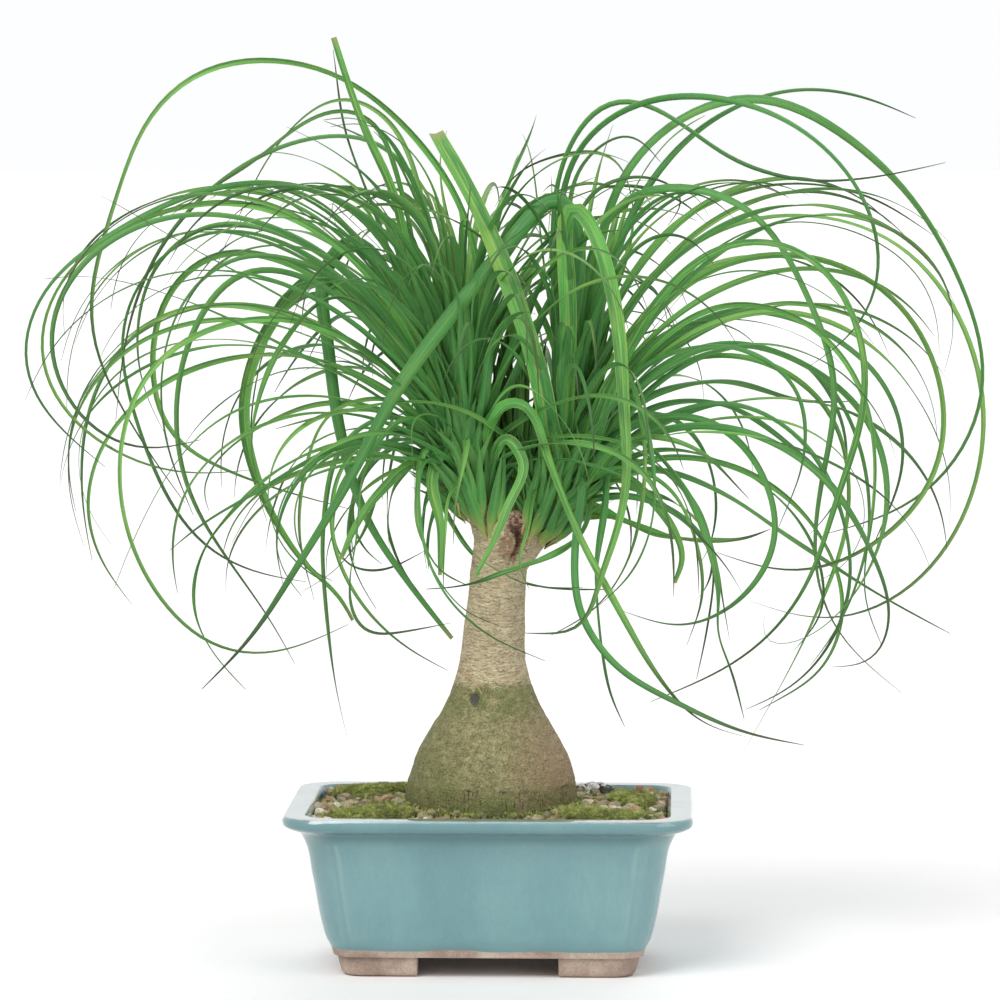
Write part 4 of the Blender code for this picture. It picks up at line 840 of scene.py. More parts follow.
def makeGround(material):
    count, low = groundSettings["around"], groundSettings["soilTop"] + 0.4
    around, reach = insideLoop(75.0, groundSettings["gap"], count)
    _, lowReach = insideLoop(low, groundSettings["gap"], count)
    inner = circle(groundSettings["trunkRadius"] - 1.2, around, (groundSettings["trunkMiddle"], 0.0))
    outer = circle(reach, around)
    loops = [lifted(inner, low), lifted(circle(lowReach, around), low)]
    for share in np.linspace(0.0, 1.0, groundSettings["rings"]):
        ring = outer + (inner - outer) * share
        lumps = cloudy(lifted(ring, 0.0), 4.5, 2.0, 3) * 0.7
        sunk = 0.9 * (1.0 - eased(0.0, 0.04, share))
        loops.append(lifted(ring, groundHeight(*ring.T) - 0.7 + lumps - sunk))
    last = (len(loops) - 1) * count
    faces = ringFaces(len(loops), count, closed=False)
    faces += [(last + i, last + (i + 1) % count, (i + 1) % count, i) for i in range(count)]
    ground = newPiece("topDressingGround", atPot(np.vstack(loops)), faces, material)
    rework(ground.data, evenNormals, outwards)

    # where loose stones, rubble and crumbs of moss have room
    points = fromPot(pointsOf(ground.data))
    x, y, _ = points.T
    mossy = mossShare(x, y)
    upward = pointsOf(ground.data, "normal")[:, 2] > 0.4
    bare = 1.0
    for heapX, heapY, radius, _ in groundSettings["heaps"]:
        bare = bare * eased(0.8, 1.4, np.hypot(x - heapX, y - heapY) / radius)
    damp = np.clip(0.55 + 0.9 * cloudy(points, 15.0, 8.0, 3, 0.0), 0.0, 1.0)
    front = 0.5 + 0.5 * eased(0.0, 1.0, (10.0 - y) / 55.0)
    nearTrunk = bell(np.hypot(x + 1.0, y), 46.0, 9.0)
    green = np.clip(damp * front + 1.2 * nearTrunk + mossy * 1.5, 0.0, 1.0)
    grit = np.clip(1.0 - mossy * 6.0, 0.0, 1.0) * (1.0 - 0.75 * nearTrunk * eased(0.0, 30.0, -y))
    keepValues(ground.data, {"rubbleRoom": upward * (1.0 - bare), "gritRoom": upward * bare * grit,
                             "crumbRoom": upward * bare * green})
    shadeSmooth(ground.data)
    return ground


def hiddenCollection(name, objects):
    collection = bpy.data.collections.new(name)
    for item in objects:
        collection.objects.link(item)
    return collection


def crushedStone(name, rng, corners, stretch):
    # a piece of gravel: the hull round a few points on a lump
    work = bmesh.new()
    for _ in range(corners):
        way = Vector((rng.gauss(0, 1), rng.gauss(0, 1), rng.gauss(0, 1))).normalized()
        way = Vector((way.x * stretch[0], way.y * stretch[1], way.z * stretch[2])) * rng.uniform(0.86, 1.05)
        work.verts.new(way * 2.1 * mm)
    bmesh.ops.convex_hull(work, input=work.verts)
    bmesh.ops.delete(work, geom=[vertex for vertex in work.verts if not vertex.link_faces], context="VERTS")
    evenNormals(work)
    mesh = bpy.data.meshes.new(name)
    work.to_mesh(mesh)
    work.free()
    shadeSmooth(mesh, 42.0)
    return bpy.data.objects.new(name, mesh)


def mossSprig(name, rng, leaflets, length):
    # a tiny tuft of pointed leaflets, open at the foot where it is sunk in
    points, faces = [], []
    for k in range(leaflets):
        turn = math.tau * k / leaflets + rng.uniform(-0.4, 0.4)
        lean = rng.uniform(0.25, 1.0)
        c, s = math.cos(turn), math.sin(turn)
        tip = Vector((c * lean, s * lean, rng.uniform(0.7, 1.1))) * length
        start = Vector((c, s, -0.4)) * length * 0.12
        side = Vector((-s, c, 0.0)) * length * 0.17
        out = Vector((c, s, 0.6)) * length * 0.12
        first = len(points)
        points += [start - side, start + side, start + out, tip]
        faces += [(first, first + 1, first + 3), (first + 1, first + 2, first + 3), (first + 2, first, first + 3)]
    mesh = bpy.data.meshes.new(name)
    mesh.from_pydata([tuple(point * mm) for point in points], [], faces)
    rework(mesh, evenNormals)
    shadeSmooth(mesh)
    return bpy.data.objects.new(name, mesh)


def makeScatterTree():
    # puts shapes from a collection on a surface, as dense as the surface's own value allows
    w, given = newTree("scatterShapes", "GeometryNodeTree", {
        "Geometry": "Geometry", "Shapes": "Collection", "Room": "String", "Distance": "Float", "Density": "Float",
        "Seed": "Int", "Smallest": "Float", "Largest": "Float", "Skew": "Float", "Sunk": "Float",
        "Upright": "Float", "Material": "Material", "Keep Base": "Bool"}, {"Geometry": "Geometry"})

    def chance(seed):
        return w.add("FunctionNodeRandomValue", {2: 0.0, 3: 1.0, "Seed": seed}, 1, data_type="FLOAT")

    spread = w.add("GeometryNodeDistributePointsOnFaces", {
        "Mesh": given["Geometry"], "Distance Min": given["Distance"], "Density Max": given["Density"],
        "Density Factor": w.named(given["Room"]), "Seed": given["Seed"]}, distribute_method="POISSON").node.outputs
    shapes = w.add("GeometryNodeCollectionInfo", {
        "Collection": given["Shapes"], "Separate Children": True, "Reset Children": True})
    spin = w.add("FunctionNodeRandomValue", {
        "Min": (0.0, 0.0, 0.0), "Max": (0.5, 0.5, math.tau), "Seed": given["Seed"]}, "Value",
        data_type="FLOAT_VECTOR")
    upright = w.add("FunctionNodeAlignRotationToVector", {
        "Rotation": spread["Rotation"], "Factor": given["Upright"], "Vector": (0.0, 0.0, 1.0)}, axis="Z")
    turned = w.add("FunctionNodeRotateRotation", {
        "Rotation": upright, "Rotate By": w.add("FunctionNodeEulerToRotation", {0: spin})}, rotation_space="LOCAL")
    size = w.add("ShaderNodeMapRange", {
        0: w.math("POWER", chance(given["Seed"]), given["Skew"]), 3: given["Smallest"], 4: given["Largest"]})
    placed = w.add("GeometryNodeInstanceOnPoints", {
        "Points": spread["Points"], "Instance": shapes, "Pick Instance": True, "Rotation": turned, "Scale": size})
    sunk = w.add("GeometryNodeTranslateInstances", {
        "Instances": placed, "Translation": w.add("ShaderNodeCombineXYZ", {"Z": given["Sunk"]})})
    base = w.add("GeometryNodeSwitch", {
        "Switch": given["Keep Base"], "True": given["Geometry"]}, input_type="GEOMETRY")
    joined = w.add("GeometryNodeJoinGeometry", {0: w.store(sunk, "shapeTone", chance(77), "INSTANCE")})
    w.fill(joined.node, {0: base})
    return w.settle(joined, given["Material"])


def growWith(tree, piece, values):
    # runs a node tree on a piece and keeps the plain mesh
    modifier = modify(piece, "grow", "NODES", node_group=tree)
    for item in tree.interface.items_tree:
        if item.in_out == "INPUT" and item.name in values:
            modifier[item.identifier] = values[item.name]
    return applyModifiers(piece)


stoneTones = [
    (0.0, tint(168, 104, 84)), (0.12, tint(184, 146, 118)), (0.3, tint(160, 140, 106)), (0.5, tint(176, 166, 130)),
    (0.68, tint(136, 130, 104)), (0.8, tint(72, 64, 54)), (0.9, tint(196, 184, 158)), (1.0, tint(226, 220, 206))]
rubbleTones = [
    (0.0, tint(26, 28, 34)), (0.55, tint(58, 60, 64)), (0.62, tint(206, 206, 202)), (1.0, tint(240, 238, 234))]


def makeStoneLook(name, tones):
    w = newLook(name, {}, {"Roughness": 0.85})
    place = w.place()
    specks = w.map(w.noise(place, 1400.0, 4.0, 0.7), 0.35, 0.68, 0.55, 1.3)
    stone = w.scaled(w.ramp(w.value("shapeTone"), tones), specks)
    dust = w.map(w.noise(place, 260.0, 3.0, 0.6), 0.46, 0.66)
    return w.finish({"Base Color": w.mix(w.times(dust, 0.5), stone, tint(98, 98, 56)),
                     "Roughness": w.map(dust, 0.0, 1.0, 0.72, 0.95),
                     "Normal": w.bump(w.grained(place, 700.0, 2600.0), 0.6, 0.0005)})


def makeEarth(name, *colours):
    w = newLook(name, {}, {"Roughness": 0.95})
    earth = w.mottled(w.place(), 160.0, 1100.0, 0.6, *colours)
    return w.finish({"Base Color": earth["Colour"], "Roughness": w.map(earth["Specks"], 0.0, 1.0, 0.85, 1.0),
                     "Normal": w.bump(w.grained(w.place(), 420.0, 1700.0), 0.9, 0.0012)})


def makeMossLook():
    w = newLook("mossGreen", {}, {"Roughness": 0.8})
    place = w.place()
    green = w.mottled(place, 130.0, 1500.0, 0.4, tint(96, 102, 50), tint(138, 148, 74), tint(178, 186, 108))
    fresh = w.scaled(green["Colour"], w.map(w.value("shapeTone"), 0.0, 1.0, 0.6, 1.35))
    brown = w.times(w.map(w.noise(place, 90.0, 3.0), 0.56, 0.68), 0.5)
    return w.finish({"Base Color": w.mix(brown, fresh, tint(110, 92, 54)),
                     "Roughness": w.map(green["Specks"], 0.0, 1.0, 0.7, 0.95)})


def makeScreenLook():
    w = newLook("meshPlastic", {}, {"Roughness": 0.55})
    black = w.mottled(w.place(), 220.0, 2400.0, 0.3, (0.018,) * 3, (0.028,) * 3, (0.045, 0.043, 0.04))
    return w.finish({"Base Color": black["Colour"], "Roughness": w.map(black["Specks"], 0.0, 1.0, 0.45, 0.7)})


def paintNode(name, material):
    # a carried-over solid keeps its shape and gets its finish
    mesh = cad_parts[name].data
    mesh.materials.clear()
    mesh.materials.append(material)


scatterTree = makeScatterTree()
mossLook = makeMossLook()
shapeRng = random.Random(21)
stones = hiddenCollection("stoneShapes", [
    crushedStone("stone%d" % k, shapeRng, 22, (shapeRng.uniform(0.9, 1.3), shapeRng.uniform(0.8, 1.0),
                                              shapeRng.uniform(0.6, 0.85))) for k in range(7)])
sprigs = hiddenCollection("sprigShapes", [mossSprig("sprig%d" % k, shapeRng, 6, 1.15) for k in range(4)])


def scatter(piece, kind, shapes, material, keepBase=False):
    growWith(scatterTree, piece, {**scatterSettings[kind], "Shapes": shapes, "Room": kind + "Room",
                                  "Material": material, "Keep Base": keepBase})
    print(piece.name, "faces", len(piece.data.polygons))


def makeDressing():
    ground = makeGround(makeEarth("groundCrumb", tint(42, 34, 24), tint(72, 60, 40), tint(104, 90, 62)))
    for name, kind, shapes, material in (
            ("topDressingStones", "grit", stones, makeStoneLook("crushedGrit", stoneTones)),
            ("topDressingRubble", "rubble", stones, makeStoneLook("blackAndWhiteRubble", rubbleTones)),
            ("mossCrumbs", "crumb", sprigs, mossLook)):
        layer = linked(name, ground.data.copy())
        scatter(layer, kind, shapes, material)
        if kind == "crumb":
            dress(layer, "moss_green")
        else:
            dress(layer, "grit", "top_dressing")
    dress(ground, "grit", "top_dressing")


def makeMoss(node):
    name = node.replace("_", " ").title().replace(" ", "").replace("M", "m", 1)
    cushion = linked(name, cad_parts[node].data.copy())
    rework(cushion.data, lambda work: bmesh.ops.remove_doubles(work, verts=work.verts, dist=0.02 * mm))
    modify(cushion, "finer", "REMESH", mode="VOXEL", voxel_size=0.8 * mm)
    modify(cushion, "softer", "SMOOTH", iterations=8)
    applyModifiers(cushion)
    points = fromPot(pointsOf(cushion.data))
    normals = pointsOf(cushion.data, "normal")
    lumps = cloudy(points, 5.5, 5.0, 3) * 0.9 + cloudy(points, 2.0, 7.0, 2) * 0.35
    pushPoints(cushion.data, normals, lumps * np.clip(normals[:, 2], 0.0, 1.0))
    keepValues(cushion.data, {"sprigRoom": eased(0.05, 0.5, normals[:, 2])})
    cushion.data.materials.clear()
    shadeSmooth(cushion.data)
    scatter(cushion, "sprig", sprigs, mossLook, keepBase=True)
    dress(cushion, "moss_green", node)


makeDressing()
for mossNode in mossSettings:
    makeMoss(mossNode)
paintNode("soil", makeEarth("pottingSoil", tint(30, 24, 18), tint(48, 38, 28), tint(74, 58, 42)))
screenLook = makeScreenLook()
paintNode("drain_screen_left", screenLook)
paintNode("drain_screen_right", screenLook)
print("soil, gravel and moss made")


# The leaves follow the same lines as the solids of the two heads

headSettings = {  # bottom and top of the leafy core, and its radii on the way up
    "left_head": ((-8.5, 0.0, 231.5), (-15.0, 0.0, 292.0), (10.5, 14.5, 16.5, 14.5, 9.5, 4.0)),
    "right_head": ((27.5, 0.0, 218.5), (45.0, 0.0, 284.0), (10.0, 14.5, 17.0, 15.0, 10.0, 4.0)),
}
coreLength = 66.0
headSides = {"left_head": -1, "right_head": 1}
otherHeads = {"left_head": "right_head", "right_head": "left_head"}
leafSettings = {
    "seed": 4,
    "free": 50,
    "steps": 48,
    "crownLow": (-224.0, -118.0, 192.0),
    "crownHigh": (232.0, 118.0, 394.0),
    "trims": (14, 0.94),     # how often a leaf that leaves the crown is cut down, and to what share each time
    "bend": 1.7,
    "narrowing": 1.4,
    "tries": 40,
    "clearance": 0.6,        # between the two heads' leaves, and from trunk and core
    "looseness": 0.5,        # between leaves of one head, where it can be had
    "stumpRoom": ((-4.0, 15.5), (22.0, 14.5)),  # middle x and reach of the room kept round each stump
    "forkHeight": 203.0,
    "ringError": 2.6,
    "eye": (95.0, -2598.0, 432.0),
    "goldenAngle": 137.508,
    "threadBow": -50,        # the bow of the one leaf that crosses the trunk as a thin thread
}

# Leaves read off the photo, by head: slope and bow away from the viewer, width at the foot and at the tip,
# then x and z of the points along it from foot to tip.
seenLeaves = {
    "left_head": [
        (0.1, 15, 5.5, 0.9, -9, 258, -4, 330, -14, 382, -40, 418, -74, 447, -113, 455, -148, 449, -174, 424, -188,
         381, -202, 340, -203, 314, -186, 279, -170, 252, -154, 231),
        (0.12, -12, 5.0, 3.6, -14, 258, -27, 305, -41, 352, -50, 388, -63, 417, -72, 442, -79, 464),
        (-0.2, 0, 4.5, 0.9, -15, 262, -27, 335, -35, 385, -52, 425, -75, 435.5, -97, 422, -113, 402, -122, 385,
         -128, 371),
        (0.25, 20, 4.5, 0.9, -13, 260, -36, 345, -48, 398, -58, 424, -73, 430, -97, 420, -118, 402, -140, 389, -160,
         376),
        (-0.1, 10, 5.0, 0.9, -14, 262, -24, 330, -36, 390, -52, 413, -77, 417, -108, 410, -136, 393, -160, 369,
         -176, 341, -185, 308, -189, 270),
        (0.2, 10, 5.5, 0.9, -14, 258, -38, 335, -72, 382, -112, 393, -152, 386, -190, 367, -219, 347, -236, 315,
         -234, 290, -216, 267, -194, 249),
        (-0.15, 0, 5.5, 0.9, -15, 256, -45, 325, -85, 368, -130, 384, -175, 375, -208, 355, -226, 328, -229, 303,
         -216, 276, -190, 256, -160, 245, -118, 248),
        (0.3, 0, 6.0, 0.9, -15, 254, -48, 320, -90, 362, -140, 378, -182, 370, -213, 344, -223.5, 315, -213, 281,
         -190, 260, -163, 257, -146, 263),
        (-0.3, 0, 6.0, 0.9, -16, 254, -50, 318, -95, 358, -140, 369, -172, 350, -187, 312, -180, 280, -168, 244,
         -148, 211, -122, 196, -93, 191.5),
        (-0.45, 0, 6.5, 0.9, -16, 252, -48, 308, -95, 350, -140, 358, -165, 335, -171, 299, -163, 265, -136, 249,
         -100, 236, -70, 228),
        (0.05, 0, 5.5, 0.9, -16, 250, -45, 302, -90, 344, -125, 350, -148, 323, -159, 282, -153, 237, -130, 199,
         -110, 171, -99, 150),
        (-0.05, 0, 5.5, 0.9, -18, 248, -48, 286, -90, 305, -135, 304, -172, 287, -196, 260, -204, 230, -198, 203,
         -181, 179.5),
        (0.4, 0, 5.0, 0.9, -18, 250, -48, 297, -95, 324, -138, 321, -172, 300, -187, 262, -185, 220, -165, 179,
         -140, 157, -112, 153.5, -72, 170),
        (-0.5, 0, 5.0, 0.9, -19, 250, -48, 275, -82, 282, -118, 269, -141, 249, -146, 235, -142, 227),
        (0.5, 0, 4.5, 0.9, -20, 246, -48, 262, -80, 258, -112, 240, -145, 221, -162, 207),
        (0.15, 0, 4.5, 0.9, -20, 244, -55, 263, -92, 256, -128, 230, -148, 203, -149, 172, -137, 151, -124, 137),
        (-0.3, 0, 4.0, 0.9, -20, 242, -55, 256, -95, 251, -118, 233, -131, 210),
        (-0.35, 0, 7.0, 2.6, -14, 262, -42, 328, -72, 364, -84, 348, -82, 310, -76, 265, -63, 223, -42, 191, -20,
         163),
        (-0.2, 0, 7.0, 2.2, -16, 260, -48, 318, -88, 346, -113, 318, -124.5, 280, -118, 242, -96, 202, -73, 179,
         -70, 172),
        (0.35, 0, 7.0, 1.2, -16, 256, -44, 308, -78, 338, -105, 312, -118, 278, -121, 256, -113, 230),
        (-0.6, 0, 4.5, 0.9, -18, 248, -46, 264, -70, 249, -80, 220, -74, 201, -56, 197, -34, 207),
        (0.6, 0, 5.0, 2.6, -18, 244, -38, 252, -57, 236, -70, 216, -76, 203),
        (0.0, -28, 6.0, 2.4, -14, 243, -25, 258, -30, 244, -26, 220, -26, 195),
        (0.0, -36, 5.0, 0.9, -16, 242, -32, 262, -37, 240, -35, 213, -26, 197, -12, 190),
        (0.0, -44, 5.0, 1.8, -4, 243, 8, 264, 16, 252, 8, 229, -1, 208, -9, 193),
        (0.0, -62, 7.0, 0.9, -4, 254, 5, 283, 15, 285, 28, 256, 43, 218, 64, 178, 84, 144, 107, 120, 128, 114),
        (0.0, 40, 4.5, 0.8, -18, 250, -48, 277, -74, 263, -84, 225, -83, 175, -78, 135, -72.5, 112),
        (0.0, 28, 4.0, 0.8, -18, 252, -50, 284, -80, 277, -94, 245, -97, 218, -89, 182),
        (0.0, -18, 4.0, 0.8, -16, 246, -45, 270, -73, 253, -80, 213, -66, 181, -42, 158, -22, 147),
        (0.0, -50, 4.0, 0.8, -14, 242, -32, 256, -36, 222, -23, 185, -2, 165, 27, 152),
        (0.0, 46, 4.0, 0.8, -12, 242, -28, 248, -21, 223, -4, 201, 18, 190.5, 62, 188),
        (0.3, 0, 4.5, 0.8, -16, 250, -42, 276, -62, 255, -68, 212, -72, 180, -65, 165.5, -44, 166.5, -20, 171),
    ],
    "right_head": [
        (0.0, -22, 9.0, 6.6, 31, 250, 25, 290, 13, 332, -5, 375, -28, 416),
        (0.0, -46, 8.0, 0.9, 34, 252, 37, 310, 42, 366, 34, 389, 15, 369, -14, 334, -47, 289, -72, 241, -97, 200,
         -122, 162, -146, 137),
        (0.0, -54, 7.5, 0.9, 37, 250, 39, 320, 41, 384, 50, 370, 62, 330, 66, 285, 67, 235, 54, 192, 45, 168, 17,
         166),
        (0.0, -40, 6.0, 0.9, 34, 236, 46, 240, 46, 219, 30, 205, 5, 196, -15, 190, -33, 188),
        (0.0, -32, 3.5, 0.9, 31, 238, 25, 240, 18, 216, 14, 201, 19, 188),
        (0.1, 0, 7.0, 0.9, 40, 232, 60, 224, 80, 217.5, 105, 213.5, 126, 213.5, 140, 219),
        (-0.4, 0, 5.5, 0.9, 38, 230, 66, 236, 95, 225, 112, 203, 115.5, 184, 119.5, 163),
        (-0.6, 0, 7.0, 0.9, 38, 234, 70, 265, 95, 241, 111, 205, 114, 182, 112, 168, 120, 149, 127, 123),
        (0.0, -46, 6.0, 0.8, 38, 240, 56, 264, 57, 235, 53, 197, 56, 158, 60, 134, 67, 119),
        (0.0, -64, 6.5, 0.8, 37, 240, 47, 250, 42, 212, 44, 176, 62, 149.5, 95, 130.5, 130, 115.5, 157, 110),
        (-0.1, 0, 5.0, 2.4, 40, 236, 66, 244, 86, 226, 95.5, 202, 92, 191.5),
        (-0.25, 0, 6.0, 0.8, 44, 250, 80, 275, 115, 271, 138, 243, 143, 214, 126, 184, 96, 169.5, 64, 178),
        (0.1, 0, 7.5, 0.9, 42, 262, 50, 330, 63, 396, 96, 428, 134, 438, 175, 417, 209, 386, 236, 337, 248, 297,
         238, 260, 211, 230, 166, 216),
        (0.2, 0, 6.5, 0.8, 44, 258, 56, 328, 74, 384, 108, 423, 150, 439, 185, 435, 211, 424),
        (-0.05, 0, 5.0, 0.8, 36, 258, 31, 340, 39, 411, 60, 436, 88, 427, 118, 404, 157, 392, 195, 395, 226, 402),
        (-0.15, 0, 6.0, 0.8, 37, 256, 33, 350, 43, 411, 72, 432, 110, 435.5, 150, 423, 183, 392, 195.5, 354, 184,
         318, 159, 300.5),
        (0.0, -10, 5.0, 0.8, 37, 254, 37, 350, 48, 405, 70, 417, 84.5, 402),
        (0.0, 16, 4.5, 0.8, 44, 256, 60, 330, 70.5, 384, 62, 405, 34, 406, 8, 393, 2, 380),
        (0.0, -20, 4.5, 0.8, 40, 254, 38, 345, 52, 389, 78, 395.5, 98, 384, 88, 370.5),
        (-0.3, 0, 6.5, 0.8, 42, 256, 45, 335, 64, 386, 100, 391.5, 134, 378, 156, 340, 174, 290, 165, 243, 161, 200,
         170, 169, 206, 136.5),
        (0.45, 0, 5.0, 0.8, 44, 254, 62, 335, 100, 378, 150, 392.5, 190, 385, 220, 366),
        (0.3, 0, 5.5, 0.8, 46, 252, 66, 330, 110, 369, 155, 377, 200, 365, 232, 330, 247.5, 280, 240, 230, 211, 188,
         165, 171, 130, 182.5),
        (-0.1, 0, 6.5, 0.8, 46, 250, 70, 315, 115, 353, 160, 357, 200, 338, 226, 292, 225, 250, 190, 209, 150,
         195.5, 113, 207),
        (-0.45, 0, 7.0, 0.8, 46, 248, 72, 318, 118, 363, 155, 360, 182, 326, 188, 284, 172, 232, 160, 190, 130, 155,
         80, 131.5),
        (0.2, 10, 6.0, 0.8, 46, 246, 75, 301, 120, 329, 168, 317.5, 200, 287, 207, 255, 190, 208),
        (-0.2, 0, 6.5, 0.8, 46, 244, 75, 293, 115, 313, 158, 301, 191, 271, 199.5, 232, 185, 188.5, 150, 159, 130,
         159, 137, 175),
        (0.55, 0, 6.0, 0.8, 46, 242, 75, 283, 115, 293.5, 155, 283, 183, 283),
        (-0.35, 0, 6.0, 0.8, 46, 240, 78, 266, 118, 270, 160, 251, 190, 208, 200, 172, 191, 151, 171, 149.5),
        (0.4, 0, 5.5, 0.8, 46, 243, 78, 279, 112, 282, 152, 259, 178, 232, 187, 212),
        (-0.6, 0, 5.0, 0.8, 44, 238, 74, 265, 104, 258, 129, 234),
        (0.1, 0, 5.0, 0.8, 42, 236, 78, 254, 125, 249, 160, 223.5, 177, 180, 167, 149, 134.5, 127.5),
        (0.6, 0, 5.0, 0.8, 42, 234, 78, 249, 115, 238, 150, 214.5, 190, 188, 230, 166.5),
        (-0.5, 0, 5.0, 0.8, 44, 246, 78, 302, 120, 311, 153, 289, 157, 255, 144, 220),
        (0.3, 0, 5.0, 0.8, 46, 247, 78, 296, 128, 306, 170, 279, 180, 232, 160, 170, 127, 107),
        (0.5, 0, 4.0, 0.8, 40, 240, 72, 255, 100, 235, 112, 200, 109, 172, 103, 143),
        (0.0, -34, 4.0, 0.8, 40, 250, 66, 304, 76, 270, 76, 235, 68, 200, 50, 176, 30, 165),
        (-0.3, -20, 4.5, 0.8, 40, 246, 70, 288, 81, 250, 80, 220, 70, 196, 54, 180),
    ],
}


def tableRows(table, count):
    # each leaf of a table as its head, its first numbers and its points
    for head, rows in table.items():
        for row in rows:
            yield (head, *row[:count], list(zip(row[count::2], row[count + 1::2])))


def spline(points, count):
    points = np.array(points, float)
    gaps = np.linalg.norm(np.diff(points, axis=0), axis=1)
    slopes = np.diff(points, axis=0) / gaps[:, None]
    tangents = np.empty_like(points)
    tangents[0], tangents[-1] = slopes[0], slopes[-1]
    both = slopes[:-1] * gaps[1:, None] + slopes[1:] * gaps[:-1, None]
    tangents[1:-1] = both / (gaps[1:] + gaps[:-1])[:, None]
    start, leaving, end, coming = smoothWeights(np.linspace(0.0, 1.0, 13)[:-1, None])
    rows = []
    for i, gap in enumerate(gaps):
        first = start * points[i] + leaving * tangents[i] * gap
        rows.append(first + (end * points[i + 1] + coming * tangents[i + 1] * gap))
    return evenLine(np.vstack(rows + [points[-1:]]), count)


def evenLine(line, count):
    run = runAlong(line)
    places = np.linspace(0.0, run[-1], count)
    return np.stack([np.interp(places, run, line[:, i]) for i in range(3)], axis=1)


def seenLine(head, slope, bow, points):
    # x and z are known from the photo, the depth comes from the slope and the bow
    axisX = (headSettings[head][0][0] + headSettings[head][1][0]) / 2
    flat = spline([(x, 0.0, z) for x, z in points], leafSettings["steps"] + 1)
    share = np.linspace(0.0, 1.0, len(flat))
    foot = min(13.0, max(-13.0, slope * 24.0 + bow * 0.22))
    depth = (flat[:, 0] - axisX) * slope + bow * (1.0 - (1.0 - share) ** 2) + foot * (1.0 - share) ** 6
    eye = np.array(leafSettings["eye"])
    line = eye + (flat - eye) * (1.0 + depth[:, None] / -eye[1])
    return evenLine(line, len(flat))


def archedLine(place, lean, heading, length, ceiling, trims):
    # steps along the way a leaf leans and heads, cut down until it stays within the crown
    out = np.cos(lean)
    step = np.stack([out * np.cos(heading), out * np.sin(heading), np.sin(lean)], axis=1)
    line = np.vstack([[0.0, 0.0, 0.0], np.cumsum(step / len(step), axis=0)])
    for _ in range(trims[0]):
        grown = place + line * length
        if (grown.min(axis=0) > leafSettings["crownLow"]).all() and (grown.max(axis=0) < ceiling).all():
            break
        length *= trims[1]
    return grown


def freeLine(head, turn, rise, length, curl, height, drift):
    # grows out of the core, arches over and droops
    bottom, top = np.array(headSettings[head][0]), np.array(headSettings[head][1])
    share = (np.arange(leafSettings["steps"]) + 0.5) / leafSettings["steps"]
    lean = np.radians(rise - curl * share ** leafSettings["bend"])
    heading = np.radians(turn + drift * share ** 2)
    place = bottom + (top - bottom) * height
    return archedLine(place, lean, heading, length, leafSettings["crownHigh"], leafSettings["trims"])


def keyRows(line, error):
    keep = {0, len(line) - 1}
    spans = [(0, len(line) - 1)]
    while spans:
        low, high = spans.pop()
        if high - low < 2:
            continue
        chord = line[high] - line[low]
        between = line[low + 1:high] - line[low]
        share = np.clip(between @ chord / max(chord @ chord, 1e-9), 0.0, 1.0)
        off = np.linalg.norm(between - share[:, None] * chord, axis=1)
        if off.max() > error:
            middle = low + 1 + int(off.argmax())
            keep.add(middle)
            spans += [(low, middle), (middle, high)]
    return sorted(keep)


def segmentGaps(a, b, c, d):
    # shortest distances between each line a-b and each line c-d
    u = (b - a)[:, None, :]
    v = (d - c)[None, :, :]
    w = a[:, None, :] - c[None, :, :]
    uu, vv, uv = (u * u).sum(-1), (v * v).sum(-1), (u * v).sum(-1)
    uw, vw = (u * w).sum(-1), (v * w).sum(-1)
    s = np.clip((uv * vw - uw * vv) / np.maximum(uu * vv - uv * uv, 1e-9), 0.0, 1.0)
    t = np.clip((uv * s + vw) / vv, 0.0, 1.0)
    s = np.clip((uv * t - uw) / uu, 0.0, 1.0)
    return np.linalg.norm(w + u * s[..., None] - v * t[..., None], axis=-1)


def segmentsOf(leaf):
    return leaf["keys"][:-1], leaf["keys"][1:]


def tightest(leaf, others):
    if not others:
        return 99.0
    starts, ends = (np.vstack(part) for part in zip(*map(segmentsOf, others)))
    wide = np.concatenate([other["wide"][:-1] for other in others])
    gaps = segmentGaps(*segmentsOf(leaf), starts, ends)
    return float((gaps - 0.5 * leaf["wide"][:-1][:, None] - 0.5 * wide[None, :]).min())


def trunkRoom(leaf):
    rows = np.array(trunkSettings["rows"])
    points = evenLine(leaf["keys"], 60)
    middle = np.interp(points[:, 2], rows[:, 0], rows[:, 1])
    radius = np.interp(points[:, 2], rows[:, 0], rows[:, 2])
    away = np.hypot(points[:, 0] - middle, points[:, 1]) - radius
    low = points[:, 2] < rows[-1][0]
    near = low & (points[:, 2] > leafSettings["forkHeight"])
    for middleX, room in leafSettings["stumpRoom"]:
        away = np.where(near, np.minimum(away, np.hypot(points[:, 0] - middleX, points[:, 1]) - room), away)
    return float((away - leaf["wide"].max() * 0.5)[low].min()) if low.any() else 99.0


def coreRoom(leaf, head):
    bottom, top, radii = headSettings[head]
    gaps = segmentGaps(*segmentsOf(leaf), np.array([bottom]), np.array([top]))[:, 0]
    return float((gaps - 0.5 * leaf["wide"][:-1]).min()) - max(radii)


def outerKeys(leaf):
    bottom, top, radii = (np.array(part) for part in headSettings[leaf["head"]])
    along = (top - bottom) / np.linalg.norm(top - bottom)
    away = leaf["keys"] - bottom
    radial = np.linalg.norm(away - (away @ along)[:, None] * along, axis=1)
    first = max(1, int(np.argmax((radial > radii.max() + 6.0) | ((away @ along) > coreLength))))
    return {"keys": leaf["keys"][first:], "wide": leaf["wide"][first:]}


